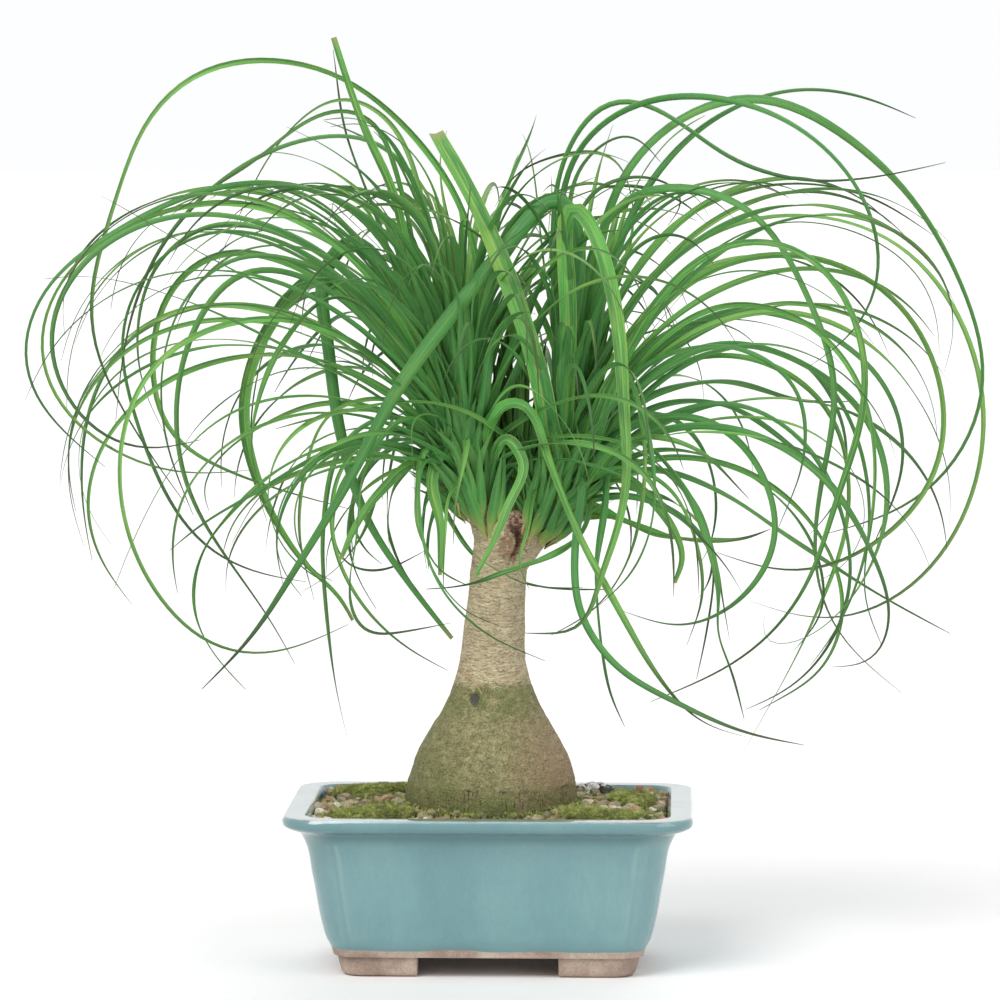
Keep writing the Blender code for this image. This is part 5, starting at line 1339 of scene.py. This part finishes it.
def makeLeaf(head, line, foot, tip, roll, twist):
    rows = keyRows(line, leafSettings["ringError"])
    wide = tip + (foot - tip) * (1.0 - (np.array(rows) / (len(line) - 1)) ** leafSettings["narrowing"])
    return {"head": head, "line": line, "keys": line[rows], "foot": foot, "tip": tip, "wide": wide, "roll": roll,
            "twist": twist}


def planLeaves(rng):
    # each leaf's kind, head, widths, roll, twist and what its line is made from
    for head, slope, bow, wide, tip, points in tableRows(seenLeaves, 4):
        roll = rng.choice((-1, 1)) * rng.uniform(28.0, 72.0)
        yield "seen", head, wide, tip, roll, rng.uniform(-100.0, 100.0), (slope, bow, points)
    for head, side in headSides.items():
        for i in range(leafSettings["free"]):
            share = (i + 0.5) / leafSettings["free"]
            turn = (i * leafSettings["goldenAngle"]) % 360.0
            sideways = max(0.0, side * math.cos(math.radians(turn)))
            inward = max(0.0, -side * math.cos(math.radians(turn)))
            steeper = 30.0 * (1.0 - sideways) * (1.0 - share)
            rise = min(88.0, 34.0 + 52.0 * share ** 0.8 + steeper + rng.uniform(-6.0, 6.0))
            length = (225.0 + 150.0 * sideways - 25.0 * inward) * rng.uniform(0.82, 1.08)
            curl = rise + 84.0 - 66.0 * share * share + rng.uniform(-18.0, 22.0)
            wide = rng.uniform(5.4, 8.0) * (0.82 + 0.25 * share)
            roll = rng.choice((-1, 1)) * rng.uniform(5.0, 50.0)
            yield ("free", head, wide, 0.8, roll, rng.uniform(-90.0, 90.0),
                   (turn, rise, length, curl, 0.30 + 0.62 * share, rng.uniform(-25.0, 25.0)))


def growLeaves():
    # the same draws in the same order as the solids, so each blade lies where its solid does
    rng = random.Random(leafSettings["seed"])
    grown = []
    for kind, head, wide, tip, roll, twist, shape in list(planLeaves(rng)):
        foes = [leaf for leaf in grown if leaf["head"] != head]
        mates = [leaf["outer"] for leaf in grown if leaf["head"] == head]
        seen = kind == "seen"
        best = None
        for attempt in range(leafSettings["tries"]):
            spread = 1.0 + attempt / 7.0
            if seen:
                slope, bow, points = shape
                if attempt:
                    slope += rng.uniform(-0.07, 0.07) * spread
                    bow += rng.uniform(-7.0, 7.0) * spread
                line = seenLine(head, slope, bow, points)
            else:
                turn, rise, length, curl, height, drift = shape
                if attempt:
                    turn += rng.uniform(-7.0, 7.0) * spread
                    rise = min(88.0, rise + rng.uniform(-3.0, 4.0) * spread)
                    length *= rng.uniform(0.93, 1.05)
                    drift += rng.uniform(-9.0, 9.0) * spread
                line = freeLine(head, turn, rise, length, curl, height, drift)
            leaf = makeLeaf(head, line, wide, tip, roll, twist)
            leaf["seen"] = seen
            leaf["broad"] = seen and (tip > 1.5 or (wide > 7.2 and shape[1] < -30.0))
            leaf["outer"] = outerKeys(leaf)
            room = min(tightest(leaf, foes), trunkRoom(leaf), coreRoom(leaf, otherHeads[head]) - 0.2)
            if room < leafSettings["clearance"]:
                continue
            loose = tightest(leaf["outer"], mates)
            if best is None or loose > best[0]:
                best = (loose, leaf)
            if loose > leafSettings["looseness"]:
                break
        if best is None:
            continue
        leaf = best[1]
        if seen and shape[1] == leafSettings["threadBow"]:
            leaf["shownFoot"] = wide * 0.65
        if tip > 6.0:
            share = np.linspace(0.0, 1.0, len(leaf["line"]))
            leaf["shownLine"] = leaf["line"] - np.outer(20.0 * np.sin(math.pi * share ** 0.8) ** 0.7, (0.0, 1.0, 0.0))
        grown.append(leaf)
    return grown


crownSettings = {  # leaves that only the dressed plant has
    "seed": 31,
    "wander": 12.0,          # degrees by which such a leaf strays to and fro
    "tries": 14,
    "trims": (16, 0.93),
    "rootDepth": 0.62,       # where a leaf starts, as a share of the core's radius
    "ceilingRise": 32.0,     # how much higher the crest may reach than the solids' leaves
    "clearance": 0.8,
    "openTrunk": (4.0, 24.0, 208.0),  # middle x, half width and top of what stays free in front of the trunk
}
crownLayers = {  # how many are on each head, the span of each measure, and the steps and sides of a blade's mesh
    "skirt": {"count": (44, 7), "height": (0.02, 0.45), "rise": (10.0, 52.0), "length": (120.0, 250.0),
              "wide": (3.0, 6.0), "droop": (75.0, 140.0), "bend": 1.3, "drift": 30.0, "tip": 0.5, "front": 0.45,
              "fresh": 0.0, "mesh": (44, 10)},
    "tuft": {"count": (42, 6), "height": (0.15, 0.80), "rise": (62.0, 88.0), "length": (140.0, 235.0),
             "wide": (5.2, 9.0), "droop": (70.0, 150.0), "bend": 3.2, "drift": 30.0, "tip": 0.6, "front": 0.4,
             "fresh": -1.2, "mesh": (40, 10)},
    "thread": {"count": (36, 7), "height": (0.2, 0.9), "rise": (25.0, 85.0), "length": (170.0, 320.0),
               "wide": (1.6, 3.4), "droop": (30.0, 130.0), "bend": 1.5, "drift": 70.0, "tip": 0.4, "front": 0.3,
               "fresh": 0.0, "mesh": (44, 6)},
    "arch": {"count": (19, 7), "height": (0.1, 0.7), "rise": (24.0, 64.0), "length": (280.0, 400.0),
             "wide": (3.6, 5.4), "droop": (115.0, 215.0), "bend": 1.7, "drift": 45.0, "tip": 0.4, "front": 1.0,
             "fresh": 0.0, "fan": 62.0, "mesh": (60, 10)},
    "crest": {"count": (16, 4), "height": (0.6, 0.95), "rise": (80.0, 89.0), "length": (150.0, 230.0),
              "wide": (3.8, 6.0), "droop": (35.0, 110.0), "bend": 2.5, "drift": 30.0, "tip": 0.4, "front": 0.7,
              "fresh": -0.8, "mesh": (44, 10)},
}


def outwardLine(head, turn, height, rise, length, plan, droop, drift, rng):
    # leaves the skin of the core steeply, leans out and then arches over
    bottom, top, radii = (np.array(part) for part in headSettings[head])
    around = math.radians(turn)
    radius = float(np.interp(height, np.linspace(0.0, 1.0, len(radii)), radii)) * crownSettings["rootDepth"]
    place = bottom + (top - bottom) * height + radius * np.array([math.cos(around), math.sin(around), 0.0])
    share = (np.arange(leafSettings["steps"]) + 0.5) / leafSettings["steps"]
    bend = plan["bend"] * rng.uniform(0.75, 1.35)
    stray = [crownSettings["wander"] * share * np.sin(math.tau * (share * rng.uniform(0.5, 1.6) + rng.random()))
             for _ in range(2)]
    steep = max(0.0, 84.0 - rise) * np.exp(-share * length / 13.0)
    lean = np.radians(rise + steep - droop * share ** bend + stray[0])
    heading = around + np.radians(drift * share ** 2 + 1.5 * stray[1])
    rises = crownSettings["ceilingRise"] if plan["height"][0] > 0.5 else 0.0
    ceiling = np.array(leafSettings["crownHigh"]) + (0.0, 0.0, rises)
    return archedLine(place, lean, heading, length, ceiling, crownSettings["trims"])


def hidesTrunk(line):
    middle, reach, top = crownSettings["openTrunk"]
    return bool(((np.abs(line[:, 0] - middle) < reach) & (line[:, 1] < 0.0) & (line[:, 2] < top)).any())


# More leaves read off the photo, for the dressed plant alone: slope, bow, width, then x and z of the points.
tracedLeaves = {
    "left_head": [
        (-0.35, -28, 1.8, -16, 246, -26, 236, -21, 222, -9, 206, 0, 199.5, 10, 194, 16, 191, 32, 189, 46, 189),
        (-0.35, -26, 1.6, -17, 248, -32, 234, -35, 216, -31, 201, -22, 186, -13, 177, -4, 172.5, 6, 169),
        (-0.3, 0, 4.2, -20, 262, -44, 335, -60, 383, -73, 418, -79, 458),
        (-0.25, 0, 4.6, -15, 256, -50, 322, -95, 362, -140, 372, -168, 352, -178, 322, -176, 290, -162, 262),
        (0.15, 0, 4.6, -15, 256, -44, 312, -88, 350, -128, 356, -155, 334, -166, 300, -164, 262, -150, 225),
        (0.3, 0, 4.6, -18, 248, -44, 266, -74, 262, -98, 242, -108, 214, -104, 186),
        (-0.5, 0, 4.6, -18, 246, -40, 262, -62, 250, -72, 222, -68, 196, -58, 178),
        (-0.7, 0, 4.1, -14, 244, -30, 256, -46, 244, -52, 222, -46, 200, -36, 186),
        (0.6, 0, 3.7, -16, 246, -36, 252, -55, 240, -64, 216, -80, 196, -96, 186),
    ],
    "right_head": [
        (-0.3, 0, 5.0, 46, 248, 75, 305, 118, 333, 160, 322, 186, 288, 192, 240, 186, 200, 172, 165, 160, 150),
        (0.35, 0, 4.6, 46, 244, 80, 290, 125, 312, 163, 298, 184, 262, 190, 220, 186, 185, 196, 160),
        (-0.15, 0, 4.6, 46, 240, 80, 272, 122, 283, 158, 262, 176, 225, 180, 190, 170, 160, 150, 138, 128, 128),
        (0.2, 0, 4.2, 44, 238, 78, 258, 112, 254, 146, 232, 164, 204, 166, 176, 152, 158),
        (-0.5, 0, 4.0, 42, 236, 66, 250, 88, 240, 102, 214, 106, 186, 98, 160),
    ],
}


def traceMore():
    return [makeLeaf(head, seenLine(head, slope, bow, points), wide, 0.8, 0.0, 0.0)
            for head, slope, bow, wide, points in tableRows(tracedLeaves, 3)]


def growMore(kind):
    # leaves between the solids' blades, clear of the trunk and of the other head's core
    rng = random.Random(crownSettings["seed"] + len(kind))
    plan = crownLayers[kind]
    grown = []
    for head, side in headSides.items():
        count = plan["count"][side > 0]
        for i in range(count):
            share = (i + 0.5) / count
            height = plan["height"][0] + (plan["height"][1] - plan["height"][0]) * share
            around = math.radians(i * leafSettings["goldenAngle"])
            inTheWay = math.sin(around) < -0.5 or side * math.cos(around) < -0.5
            if inTheWay and rng.random() > plan["front"]:
                continue
            for _ in range(crownSettings["tries"]):
                turn = (i * leafSettings["goldenAngle"] + rng.uniform(-25.0, 25.0)) % 360.0
                if "fan" in plan:
                    turn = 90.0 - 90.0 * side + rng.uniform(-1.0, 1.0) * plan["fan"]
                sideways = max(0.0, side * math.cos(math.radians(turn)))
                steeper = min(1.0, share * rng.uniform(0.5, 1.5))
                rise = plan["rise"][0] + (plan["rise"][1] - plan["rise"][0]) * steeper
                length = rng.uniform(*plan["length"]) * (0.8 + 0.3 * sideways)
                droop = rng.uniform(*plan["droop"])
                drift = rng.uniform(-1.0, 1.0) * plan["drift"]
                line = outwardLine(head, turn, height, rise, length, plan, droop, drift, rng)
                leaf = makeLeaf(head, line, rng.uniform(*plan["wide"]), plan["tip"], rng.uniform(-40.0, 40.0),
                                rng.uniform(-70.0, 70.0))
                room = min(trunkRoom(leaf), coreRoom(leaf, otherHeads[head]))
                if room > crownSettings["clearance"] and not hidesTrunk(line):
                    leaf["fresh"] = plan["fresh"]
                    grown.append(leaf)
                    break
    return grown


claspLeaves = {  # lower tip, upper end and half width
    "left_head": [
        ((-1.5, -13.3, 213.0), (-13.0, -18.0, 243.0), 3.1), ((-0.8, -13.6, 214.5), (2.5, -15.5, 245.0), 2.9),
        ((-5.5, -9.6, 218.5), (-20.0, -14.0, 241.0), 2.8), ((-10.5, -4.6, 221.5), (-27.0, -9.0, 238.0), 2.6),
        ((4.0, -14.8, 221.0), (6.0, -14.5, 246.0), 2.2), ((-7.5, -12.0, 220.0), (-9.5, -18.5, 247.0), 3.0),
        ((-3.8, -13.4, 222.0), (-5.0, -19.0, 251.0), 2.7)],
    "right_head": [
        ((18.5, -10.5, 212.0), (30.0, -17.0, 238.0), 3.1), ((24.0, -6.8, 209.5), (41.0, -14.0, 231.0), 3.2),
        ((15.5, -13.2, 217.0), (22.0, -15.5, 243.0), 2.6), ((29.0, -4.0, 211.0), (47.0, -8.0, 226.0), 3.0)],
}
bladeSettings = {
    "thickness": 0.11,
    "mesh": (76, 10),        # steps along a blade and sides round it
    "tracedMesh": (70, 10),
    "feetMesh": (24, 12),
    "feetThickness": 0.09,
    "rootFlare": 1.15,       # how much wider a blade gets at its very foot
    "rootReach": 15.0,
    "wave": (18.0, 66.0),    # degrees by which a blade rolls to and fro along its length
    "waves": (0.8, 2.3),
    "gutter": 0.52,
    "broader": 1.22,         # how much wider the broad leaves in front are than their solids
    "slimmer": {True: 0.33, False: 0.48},  # how much narrower the others are past their feet, seen or not
    "sheaths": 120,
    "forkLeaves": 18,
    "husks": 16,
}
footShares = np.linspace(0.0, 1.0, 20)


def softened(line, rounds):
    # takes the small kinks out of a line and leaves its ends
    line = line.copy()
    for _ in range(rounds):
        line[1:-1] = 0.5 * line[1:-1] + 0.25 * (line[:-2] + line[2:])
    return line


def normalised(ways):
    return ways / np.linalg.norm(ways, axis=1)[:, None]


def guideOf(line, half, up, along, run, gutter, tone, cut=0.0, dry=0.0):
    # the points along a leaf with what the tree needs there: half width, the way up, how far along it is as a
    # share and in millimetres, how far it is folded, its tone, and whether it is cut off or withers early
    values = {"Half": half * mm, "Along": along, "Run": run, "Gutter": gutter, "Tone": tone, "Cut": cut, "Dry": dry}
    values = {name: np.broadcast_to(rows, len(line)) for name, rows in values.items()}
    return {"Points": line, "Up": np.broadcast_to(up, line.shape), **values}


def bladeGuide(leaf, rng, facing=False):
    broad = leaf.get("broad", False)
    line = softened(leaf.get("shownLine", leaf["line"]), 2 if broad else 7)
    reach = line - line[0]
    far = reach[int(np.hypot(reach[:, 0], reach[:, 1]).argmax())]
    side = np.array([-far[1], far[0], 0.0]) / max(math.hypot(far[0], far[1]), 1e-6)
    along = normalised(np.gradient(line, axis=0))
    flat = normalised(side - (along @ side)[:, None] * along)
    share = np.linspace(0.0, 1.0, len(line))
    wave = rng.uniform(*bladeSettings["wave"]) * np.minimum(1.0, share * 5.0) * (0.3 if broad else 1.0)
    turns = wave * np.sin(math.tau * (share * rng.uniform(*bladeSettings["waves"]) + rng.random()))
    steady = leaf["roll"] + leaf["twist"] * share
    if facing:
        view = np.array(leafSettings["eye"]) - line
        view = normalised(view - (view * along).sum(axis=1)[:, None] * along)
        flat = np.cross(along, view)
        steady = rng.uniform(-35.0, 35.0) + rng.uniform(-50.0, 50.0) * share
        steady = rng.choice((0.0, 180.0)) + steady * (0.4 if broad else 1.0)
    angle = np.radians(steady + turns)[:, None]
    across = np.cos(angle) * flat + np.sin(angle) * np.cross(along, flat)
    cutEnd = leaf["tip"] > 1.5
    thinning = 2.2 if cutEnd or broad else 3.0
    tip = leaf["tip"] * (1.25 if leaf["tip"] > 6.0 else 0.85) if cutEnd else 0.4
    foot = leaf.get("shownFoot", leaf["foot"]) * (bladeSettings["broader"] if broad else 1.0)
    run = share * float(np.linalg.norm(np.diff(line, axis=0), axis=1).sum())
    half = (tip + (foot - tip) * (1.0 - share ** thinning)) / 2
    inFront = line[0][1] < -6.0
    half *= 1.0 + (0.2 if inFront else bladeSettings["rootFlare"]) * bell(run, 0.0, bladeSettings["rootReach"])
    half *= 1.0 - 0.9 * bell(run, 0.0, 14.0 if inFront else 6.0)
    half *= 1.0 + 0.05 * np.sin(math.tau * (share * 3.1 + rng.random()))
    slimmer = 0.0 if broad else bladeSettings["slimmer"][leaf.get("seen", True)]
    half *= 1.0 - slimmer * eased(0.03, 0.25, share)
    gutter = bladeSettings["gutter"] * (0.6 + 1.8 * bell(run, 0.0, 30.0) + 0.4 * share) * rng.uniform(0.7, 1.4)
    tone = rng.random()
    if broad:
        tone = 0.16 + 0.18 * tone
    elif line[:, 1].min() < -26.0:
        tone *= 0.5
    return guideOf(line, half, np.cross(along, across), share, run, gutter, tone, float(cutEnd),
                   rng.random() + leaf.get("fresh", 0.0))


def strawGuide():
    # one dry fibre that lies on the front of the trunk
    share = footShares
    swell = np.sin(math.pi * share)
    line = np.column_stack([
        -12.0 + 8.0 * share, -14.4 - 6.8 * share - 0.8 * swell, 146.0 - 8.5 * share + 1.5 * swell])
    return guideOf(line, 0.5 * (1.0 - 0.5 * share), (0.0, -1.0, 0.0), share * 0.5, share * 10.0, 0.3, 2.0)


def sheathGuides(head, rng):
    # leaf feet that clasp the core, overlap from the bottom up and lean out at their ends
    bottom, top, radii = (np.array(part) for part in headSettings[head])
    axis = (top - bottom) / np.linalg.norm(top - bottom)
    sideways = np.cross(axis, (0.0, 1.0, 0.0))
    sideways /= np.linalg.norm(sideways)
    other = np.cross(axis, sideways)
    stumpFoot, stumpEnd = (np.array(point) for point in trunkSettings["stumps"][head][:2])
    stumpWay = (stumpEnd - stumpFoot) / np.linalg.norm(stumpEnd - stumpFoot)
    share = footShares
    guides = []
    count = bladeSettings["sheaths"]
    for k in range(count):
        turn = math.radians(k * leafSettings["goldenAngle"] + rng.uniform(-14.0, 14.0))
        out = sideways * math.cos(turn) + other * math.sin(turn)
        low = -0.15 + 0.76 * (k / count) ** 1.25 + rng.uniform(-0.07, 0.05)
        height = low + share * rng.uniform(0.34, 0.66)
        radius = np.interp(height, np.linspace(0.0, 1.0, len(radii)), radii) + 0.3 + 1.0 * (1.0 - k / count)
        radius = radius * (1.0 - 0.25 * bell(share, 0.0, 0.16)) + rng.uniform(1.0, 16.0) * share ** 2.5
        swing = rng.uniform(-15.0, 15.0) * share ** 1.5
        reach = height * np.linalg.norm(top - bottom)
        line = bottom + np.outer(np.maximum(reach, 0.0), axis) + np.outer(np.minimum(reach, 0.0), stumpWay)
        line += radius[:, None] * out + np.outer(swing, np.cross(axis, out))
        half = rng.uniform(1.5, 3.4) * (1.0 - share ** 2.2) * eased(-0.03, rng.uniform(0.12, 0.4), share) + 0.08
        guides.append(guideOf(line, half, -out, share * 0.5, share * 46.0 + 1.0, 0.75 - 0.4 * share,
                              0.1 + 0.8 * rng.random(), dry=rng.random()))
    return guides + claspGuides(head, rng) + forkGuides(head, rng) + huskGuides(bottom, axis, sideways, other, rng)


def claspGuides(head, rng):
    # pale leaf bases that hang down over the front of the fork
    share = footShares
    guides = []
    for tip, end, wide in claspLeaves[head]:
        line = np.array(tip) + np.outer(share * rng.uniform(1.3, 1.9), np.array(end) - np.array(tip))
        line += np.outer(np.sin(math.pi * share), (rng.uniform(-1.5, 1.5), -0.8, 0.0))
        line += np.outer(share ** 2, (rng.uniform(-4.0, 4.0), -5.0, 0.0))
        half = wide * eased(-0.04, 0.3, share) * (1.0 - share ** 2.0) + 0.08
        guides.append(guideOf(line, half, (0.0, 1.0, 0.0), share * 0.5, share * 50.0 + 1.0, 0.45,
                              0.3 + 0.6 * rng.random()))
    return guides


def huskGuides(bottom, axis, sideways, other, rng):
    # thin dry fibres that curl out of the foot of a head
    flat, share = footShares, footShares[:, None]
    guides = []
    for _ in range(bladeSettings["husks"]):
        turn = rng.uniform(0.0, math.tau)
        out = sideways * math.cos(turn) + other * math.sin(turn)
        swing = np.cross(axis, out) * rng.uniform(-9.0, 9.0)
        line = bottom + axis * rng.uniform(-2.0, 12.0) + out * (8.5 + rng.uniform(4.0, 12.0) * share)
        fall = rng.uniform(0.0, 9.0) * share - rng.uniform(4.0, 18.0) * share ** 2
        line = line + swing * share ** 2 + axis * fall
        half = rng.uniform(0.3, 0.9) * (1.0 - 0.8 * flat ** 2)
        guides.append(guideOf(line, half, axis, flat * 0.5, flat * 10.0, 0.5, 2.0))
    return guides


def forkGuides(head, rng):
    # short dark leaves that fill the fork between the two heads
    side = headSides[head]
    flat, share = footShares, footShares[:, None]
    guides = []
    for _ in range(bladeSettings["forkLeaves"]):
        foot = np.array([11.5 + side * rng.uniform(0.0, 5.0), rng.uniform(-3.0, 11.0), 222.0])
        end = np.array([11.5 - side * rng.uniform(-16.0, 12.0), rng.uniform(-4.0, 26.0), rng.uniform(248.0, 335.0)])
        bow = np.array([side * rng.uniform(-4.0, 6.0), 4.0, 0.0])
        line = foot + (end - foot) * share + bow * np.sin(math.pi * share)
        way = (rng.uniform(-0.5, 0.5), -1.0, 0.2)
        half = rng.uniform(1.8, 3.4) * (1.0 - 0.85 * flat ** 2.0)
        guides.append(guideOf(line, half, way, flat * 0.9, flat * 40.0 + 14.0, 0.5, 0.1 * rng.random(),
                              dry=rng.random()))
    return guides


def makeCore(name, head, material):
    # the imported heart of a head, seen only in the gaps between the leaf feet
    bottom, top, radii = headSettings[head]
    bottom, top = Vector(bottom), Vector(top)
    places = np.linspace(0.0, 1.0, len(radii)) * coreLength
    rows = denserRows([(radius * 0.93, place, 0.0, 0.0) for place, radius in zip(places, radii)], 3.0)
    along = (top - bottom).normalized()
    core = ringSolid(name, [aroundAxis(bottom + (top - bottom) * (row[1] / coreLength), along, row[0], 28)
                            for row in rows], material)
    values = {"leafAlong": 0.3, "leafTone": 0.0, "leafRun": 22.0, "leafAcross": -0.5}
    keepValues(core.data, {key: np.full(len(core.data.vertices), value) for key, value in values.items()})
    shadeSmooth(core.data)
    dress(core, "leaf_green", head)


def guideMesh(name, guides):
    edges = []
    first = 0
    for guide in guides:
        count = len(guide["Points"])
        edges += [(first + k, first + k + 1) for k in range(count - 1)]
        first += count
    values = {"leaf" + key: np.concatenate([guide[key] for guide in guides]) for key in guides[0]}
    mesh = bpy.data.meshes.new(name)
    mesh.from_pydata([tuple(point) for point in atPot(values.pop("leafPoints"))], edges, [])
    keepValues(mesh, values)
    return linked(name, mesh)


def makeBladeTree():
    # sweeps a thin lens along every guide, then folds it into a gutter
    w, given = newTree("strapLeaves", "GeometryNodeTree", {
        "Geometry": "Geometry", "Steps": "Int", "Sides": "Int", "Thickness": "Float", "Material": "Material"},
        {"Geometry": "Geometry"})
    half, up = w.named("leafHalf"), w.named("leafUp", "FLOAT_VECTOR")
    line = w.add("GeometryNodeCurveSplineType", {
        "Curve": w.add("GeometryNodeMeshToCurve", {"Mesh": given["Geometry"]})}, spline_type="CATMULL_ROM")
    line = w.add("GeometryNodeResampleCurve", {"Curve": line, "Count": given["Steps"]})
    line = w.add("GeometryNodeSetCurveNormal", {"Curve": line, "Normal": up}, mode="FREE")
    lens = w.add("GeometryNodeCurvePrimitiveCircle", {"Resolution": given["Sides"], "Radius": 1.0})
    where = w.add("GeometryNodeInputPosition", {})
    x, y = w.xyz(where, "X"), w.xyz(where, "Y")
    thin = w.add("ShaderNodeCombineXYZ", {"X": w.times(x, given["Thickness"]), "Y": y})
    lens = w.store(w.store(lens, "leafAcross", y), "leafFace", x)
    lens = w.add("GeometryNodeSetPosition", {"Geometry": lens, "Position": thin})
    blade = w.add("GeometryNodeCurveToMesh", {"Curve": line, "Profile Curve": lens, "Scale": half, "Fill Caps": True})
    steep = w.math("POWER", w.math("ABSOLUTE", w.named("leafAcross")), 1.3)
    lift = w.scaled(up, w.times(w.times(steep, half), w.named("leafGutter")))
    blade = w.add("GeometryNodeSetPosition", {"Geometry": blade, "Offset": lift})
    return w.settle(w.add("GeometryNodeSetShadeSmooth", {0: blade}), given["Material"])


leafColours = {
    "shade": tint(46, 118, 52), "green": tint(88, 175, 80), "bright": tint(143, 201, 94),
    "margin": tint(178, 194, 104), "under": tint(62, 126, 64), "aged": tint(134, 164, 88),
    "root": tint(158, 172, 78), "husk": tint(174, 156, 108), "dark": tint(34, 46, 28), "dry": tint(66, 60, 44),
    "cut": tint(150, 150, 96), "streak": tint(160, 190, 86), "fleck": tint(140, 112, 60),
    "lowHalf": tint(38, 96, 50),
}


def makeLeafLook():
    w = newLook("strapLeaf", leafColours, {"Roughness": 0.5, "Specular IOR Level": 0.32})
    along, across, face, tone, run, cutEnd, dry, half = (
        w.value("leaf" + name) for name in ("Along", "Across", "Face", "Tone", "Run", "Cut", "Dry", "Half"))
    place = w.place()
    height = w.xyz(place, 2)
    lines = w.add("ShaderNodeCombineXYZ", {
        "X": w.times(across, 2.6), "Y": w.times(run, 0.012), "Z": w.times(tone, 37.0)})
    veins = w.noise(lines, 3.4, 4.0, 0.7)
    stretched = w.add("ShaderNodeVectorMath", {0: lines, 1: (0.35, 1.6, 1.0)}, operation="MULTIPLY")
    streaks = w.noise(stretched, 1.0, 2.0, 0.5)
    light = w.timesPlus(w.noise(place, 16.0, 2.0, 0.5), 0.55, w.times(tone, 0.6))
    aged = w.times(w.map(along, 0.15, 0.6, 0.0, 0.65), w.map(tone, 0.1, 0.6, 0.15, 1.0))
    # painted shade: one half of the blade, picked by its tone, is darker, as if turned away from the light
    side = w.times(across, w.map(tone, 0.24, 0.26, -1.0, 1.0))
    flecks = w.map(w.noise(place, 210.0, 3.0, 0.6), 0.66, 0.74, 0.0, 0.55)
    margin = w.math("ABSOLUTE", across)
    foot = w.times(w.map(run, 2.0, 18.0, 0.8, 0.0), w.map(height, 0.224, 0.246, 1.0, 0.1))
    husky = w.times(w.map(run, 2.0, 12.0, 0.95, 0.0), w.map(height, 0.224, 0.240, 1.0, 0.0))
    husky = w.times(husky, w.map(w.noise(place, 240.0), 0.4, 0.55))
    whole = w.times(w.minus(1.0, cutEnd), w.map(half, 0.0008, 0.0020, 1.0, 0.2))
    withered = w.timesPlus(dry, 0.26, along)
    base = w.mix(w.map(light, 0.22, 0.6), "shade", "green")
    colour = w.lay(
        base, (w.map(light, 0.66, 1.1), "bright"), (aged, "aged"), (w.map(side, -0.06, 0.06, 0.0, 0.55), "lowHalf"),
        (w.map(veins, 0.5, 0.66, 0.0, 0.7), "bright"), (w.map(veins, 0.32, 0.47, 0.7, 0.0), "shade"),
        (w.map(streaks, 0.6, 0.74, 0.0, 0.5), "streak"), (flecks, "fleck"),
        (w.map(margin, 0.0, 0.12, 0.5, 0.0), "margin"), (w.map(margin, 0.84, 0.99, 0.0, 0.75), "margin"),
        # the underside face is painted darker green, partly the leaf's own colour and partly painted shade
        (w.map(face, -0.05, 0.05, 0.6, 0.0), "under"), (foot, "root"), (husky, "husk"),
        (w.times(w.map(withered, 0.68, 1.05, 0.0, 0.72), whole), "dark"),
        (w.times(w.map(withered, 1.0, 1.2, 0.0, 0.6), whole), "dry"), (w.map(tone, 1.3, 1.5), "husk"),
        (w.times(w.map(along, 0.972, 0.998, 0.0, 0.85), cutEnd), "cut"))
    return w.finish({"Base Color": colour, "Roughness": w.map(veins, 0.3, 0.7, 0.38, 0.56),
                     "Normal": w.bump(veins, 0.6, 0.0004)})


def makeHeads():
    rng = random.Random(17)
    grown = growLeaves()
    more = {kind: growMore(kind) for kind in crownLayers}
    more["traced"] = traceMore()
    print("leaves grown", len(grown), {kind: len(leaves) for kind, leaves in more.items()})
    bladeTree, look = makeBladeTree(), makeLeafLook()

    def sweep(name, guides, nodes, size, thickness=bladeSettings["thickness"]):
        leaves = guideMesh(name, guides)
        growWith(bladeTree, leaves, {"Steps": size[0], "Sides": size[1], "Thickness": thickness, "Material": look})
        rework(leaves.data, outwards)
        shadeSmooth(leaves.data, 62.0)
        dress(leaves, "leaf_green", *nodes)
        print(name, "blades", len(guides), "faces", len(leaves.data.polygons))

    for head, name in (("left_head", "leftHead"), ("right_head", "rightHead")):
        sweep(name + "Leaves", [bladeGuide(leaf, rng, leaf["seen"]) for leaf in grown if leaf["head"] == head],
              [head], bladeSettings["mesh"])
        for kind, leaves in more.items():
            guides = [strawGuide()] if (kind, head) == ("traced", "left_head") else []
            guides += [bladeGuide(leaf, rng, kind == "traced") for leaf in leaves if leaf["head"] == head]
            size = crownLayers[kind]["mesh"] if kind in crownLayers else bladeSettings["tracedMesh"]
            sweep(name + kind.title(), guides, [], size)
        sweep(name + "LeafFeet", sheathGuides(head, rng), [head], bladeSettings["feetMesh"],
              bladeSettings["feetThickness"])
        makeCore(name + "Core", head, look)


makeHeads()
print("heads made")

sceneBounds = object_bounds()
for cadCorner, sceneCorner in zip(cadBounds, sceneBounds):
    print("box difference mm:", [round((b - a) / mm, 1) for a, b in zip(cadCorner, sceneCorner)])
